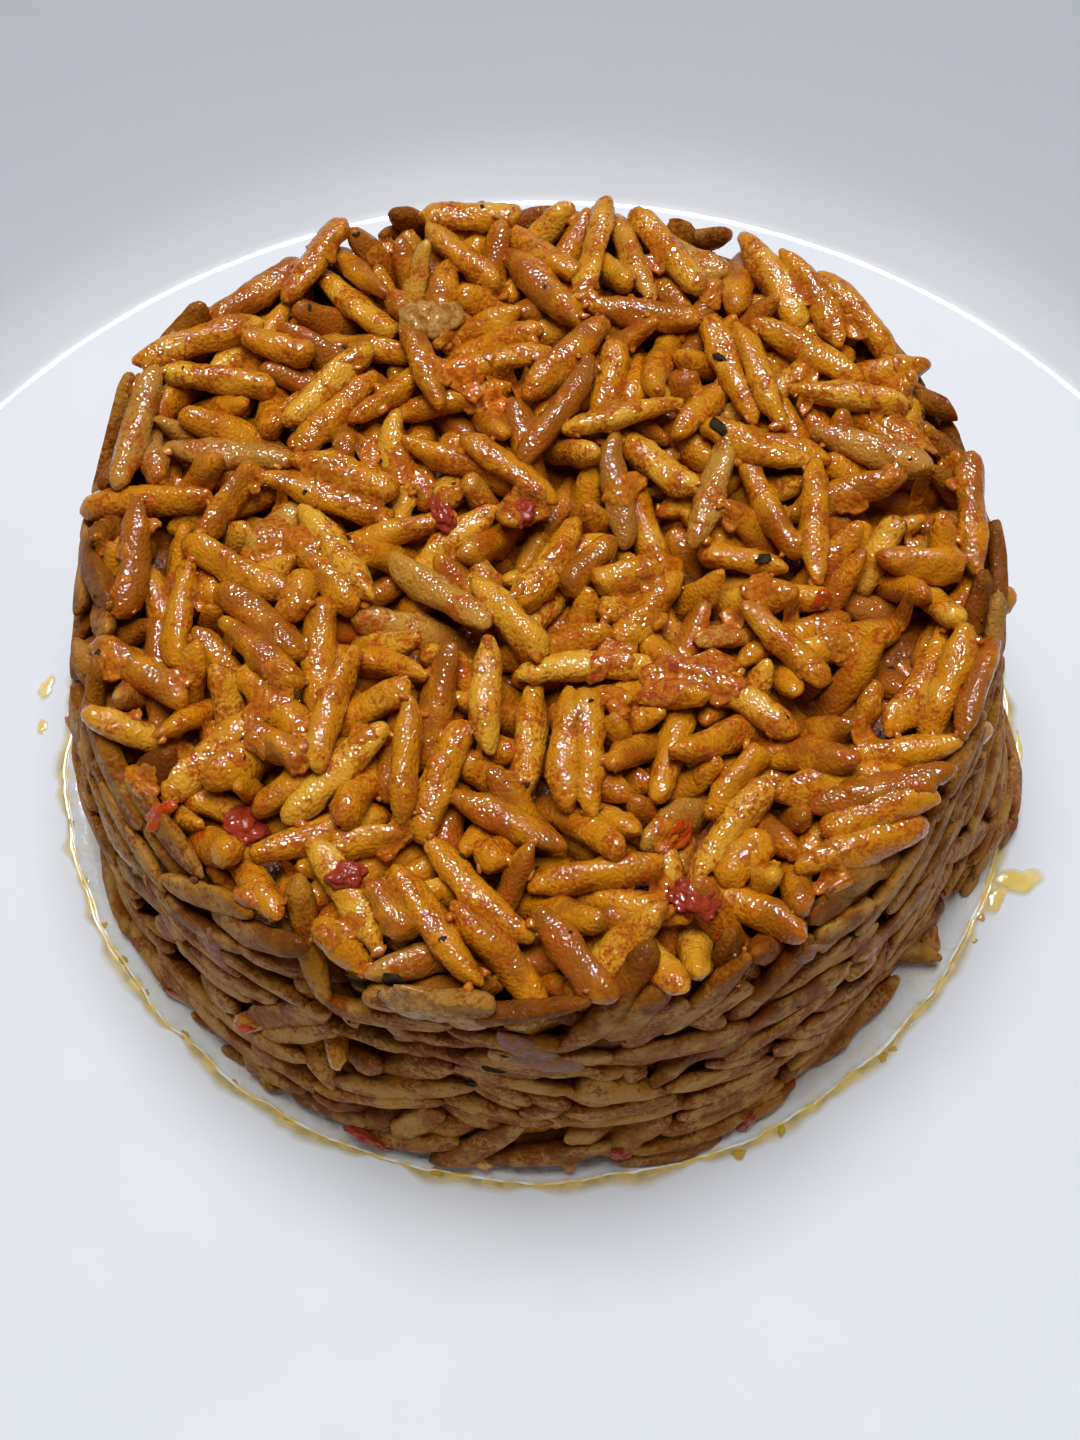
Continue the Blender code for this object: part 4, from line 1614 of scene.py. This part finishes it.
class JOLLOF_OT_stage(bpy.types.Operator):
    """Set the floor, the lamp, the room's light and the camera"""

    bl_idname = "jollof.stage"
    bl_label = "Stage"

    def execute(self, context):
        settings = context.scene.jollof_stage
        scene = context.scene
        scene.view_settings.view_transform = "Standard"
        reach = 2.0
        corners = np.array(((-1, -1, 0), (1, -1, 0), (1, 1, 0), (-1, 1, 0))) * reach
        mesh = joined_mesh("studio_floor", corners, np.array(((0, 1, 2, 3),)), np.zeros((0, 3)))
        mesh.materials.append(floor_material(settings))
        floor = bpy.data.objects.new("studio_floor", mesh)
        scene.collection.objects.link(floor)
        world = bpy.data.worlds.new("room")
        world.use_nodes = True
        background = world.node_tree.nodes["Background"]
        background.inputs["Color"].default_value = (*settings.room_colour, 1.0)
        background.inputs["Strength"].default_value = settings.room
        scene.world = world
        target = Vector(drum().origin)
        place = Vector((0, settings.soft_back, settings.soft_height))
        soft = self.add_lamp(scene, "soft_lamp", place, target, settings.soft_size, settings.soft_power)
        soft.visible_glossy = False
        place = Vector((0, settings.sheen_back, settings.glint_height))
        sheen = self.add_lamp(scene, "sheen_lamp", place, target, settings.sheen_size, settings.sheen_power)
        sheen.visible_diffuse = False
        place = Vector((0, settings.glint_back, settings.glint_height))
        glint = self.add_lamp(scene, "glint_lamp", place, target, settings.glint_size, settings.glint_power)
        glint.visible_diffuse = False
        self.add_camera(scene, settings, target)
        return {"FINISHED"}

    @staticmethod
    def add_lamp(scene, name, place, target, size, power):
        lamp_data = bpy.data.lights.new(name, "AREA")
        lamp_data.shape = "DISK"
        lamp_data.size = size
        lamp_data.energy = power
        lamp = bpy.data.objects.new(name, lamp_data)
        lamp.location = place
        lamp.rotation_euler = (target - place).to_track_quat("-Z", "Y").to_euler()
        scene.collection.objects.link(lamp)
        return lamp

    @staticmethod
    def add_camera(scene, settings, target):
        camera_data = bpy.data.cameras.new("camera")
        camera_data.lens = settings.lens
        camera_data.clip_start = 10 * MM
        camera = bpy.data.objects.new("camera", camera_data)
        back = Vector((0, -math.cos(settings.elevation), math.sin(settings.elevation)))
        turn = back.to_track_quat("Z", "Y").to_matrix() @ Matrix.Rotation(settings.roll, 3, "Z")
        camera.matrix_world = Matrix.Translation(target + back * settings.distance) @ turn.to_4x4()
        scene.collection.objects.link(camera)
        scene.camera = camera


class JOLLOF_PT_panel(bpy.types.Panel):
    """The pieces of the jollof rice, in the order they are made"""

    bl_idname = "JOLLOF_PT_panel"
    bl_label = "Jollof rice"
    bl_space_type = "VIEW_3D"
    bl_region_type = "UI"
    bl_category = "Jollof"

    def draw(self, context):
        for step in STEPS:
            self.layout.operator(step.bl_idname)


STEPS = (
    JOLLOF_OT_plate,
    JOLLOF_OT_heart,
    JOLLOF_OT_grains,
    JOLLOF_OT_paste,
    JOLLOF_OT_tomato,
    JOLLOF_OT_onion,
    JOLLOF_OT_herbs,
    JOLLOF_OT_oil,
    JOLLOF_OT_stage,
)
SETTINGS = {
    "jollof_plate": PlateSettings,
    "jollof_rice": RiceSettings,
    "jollof_toppings": ToppingSettings,
    "jollof_oil": OilSettings,
    "jollof_stage": StageSettings,
}


def register():
    for group in SETTINGS.values():
        bpy.utils.register_class(group)
    for name, group in SETTINGS.items():
        setattr(bpy.types.Scene, name, PointerProperty(type=group))
    for step in (*STEPS, JOLLOF_PT_panel):
        bpy.utils.register_class(step)


def unregister():
    for step in (JOLLOF_PT_panel, *reversed(STEPS)):
        bpy.utils.unregister_class(step)
    for name, group in SETTINGS.items():
        delattr(bpy.types.Scene, name)
        bpy.utils.unregister_class(group)


def main():
    register()
    for step in STEPS:
        group, name = step.bl_idname.split(".")
        getattr(getattr(bpy.ops, group), name)()


if __name__ == "__main__":
    main()
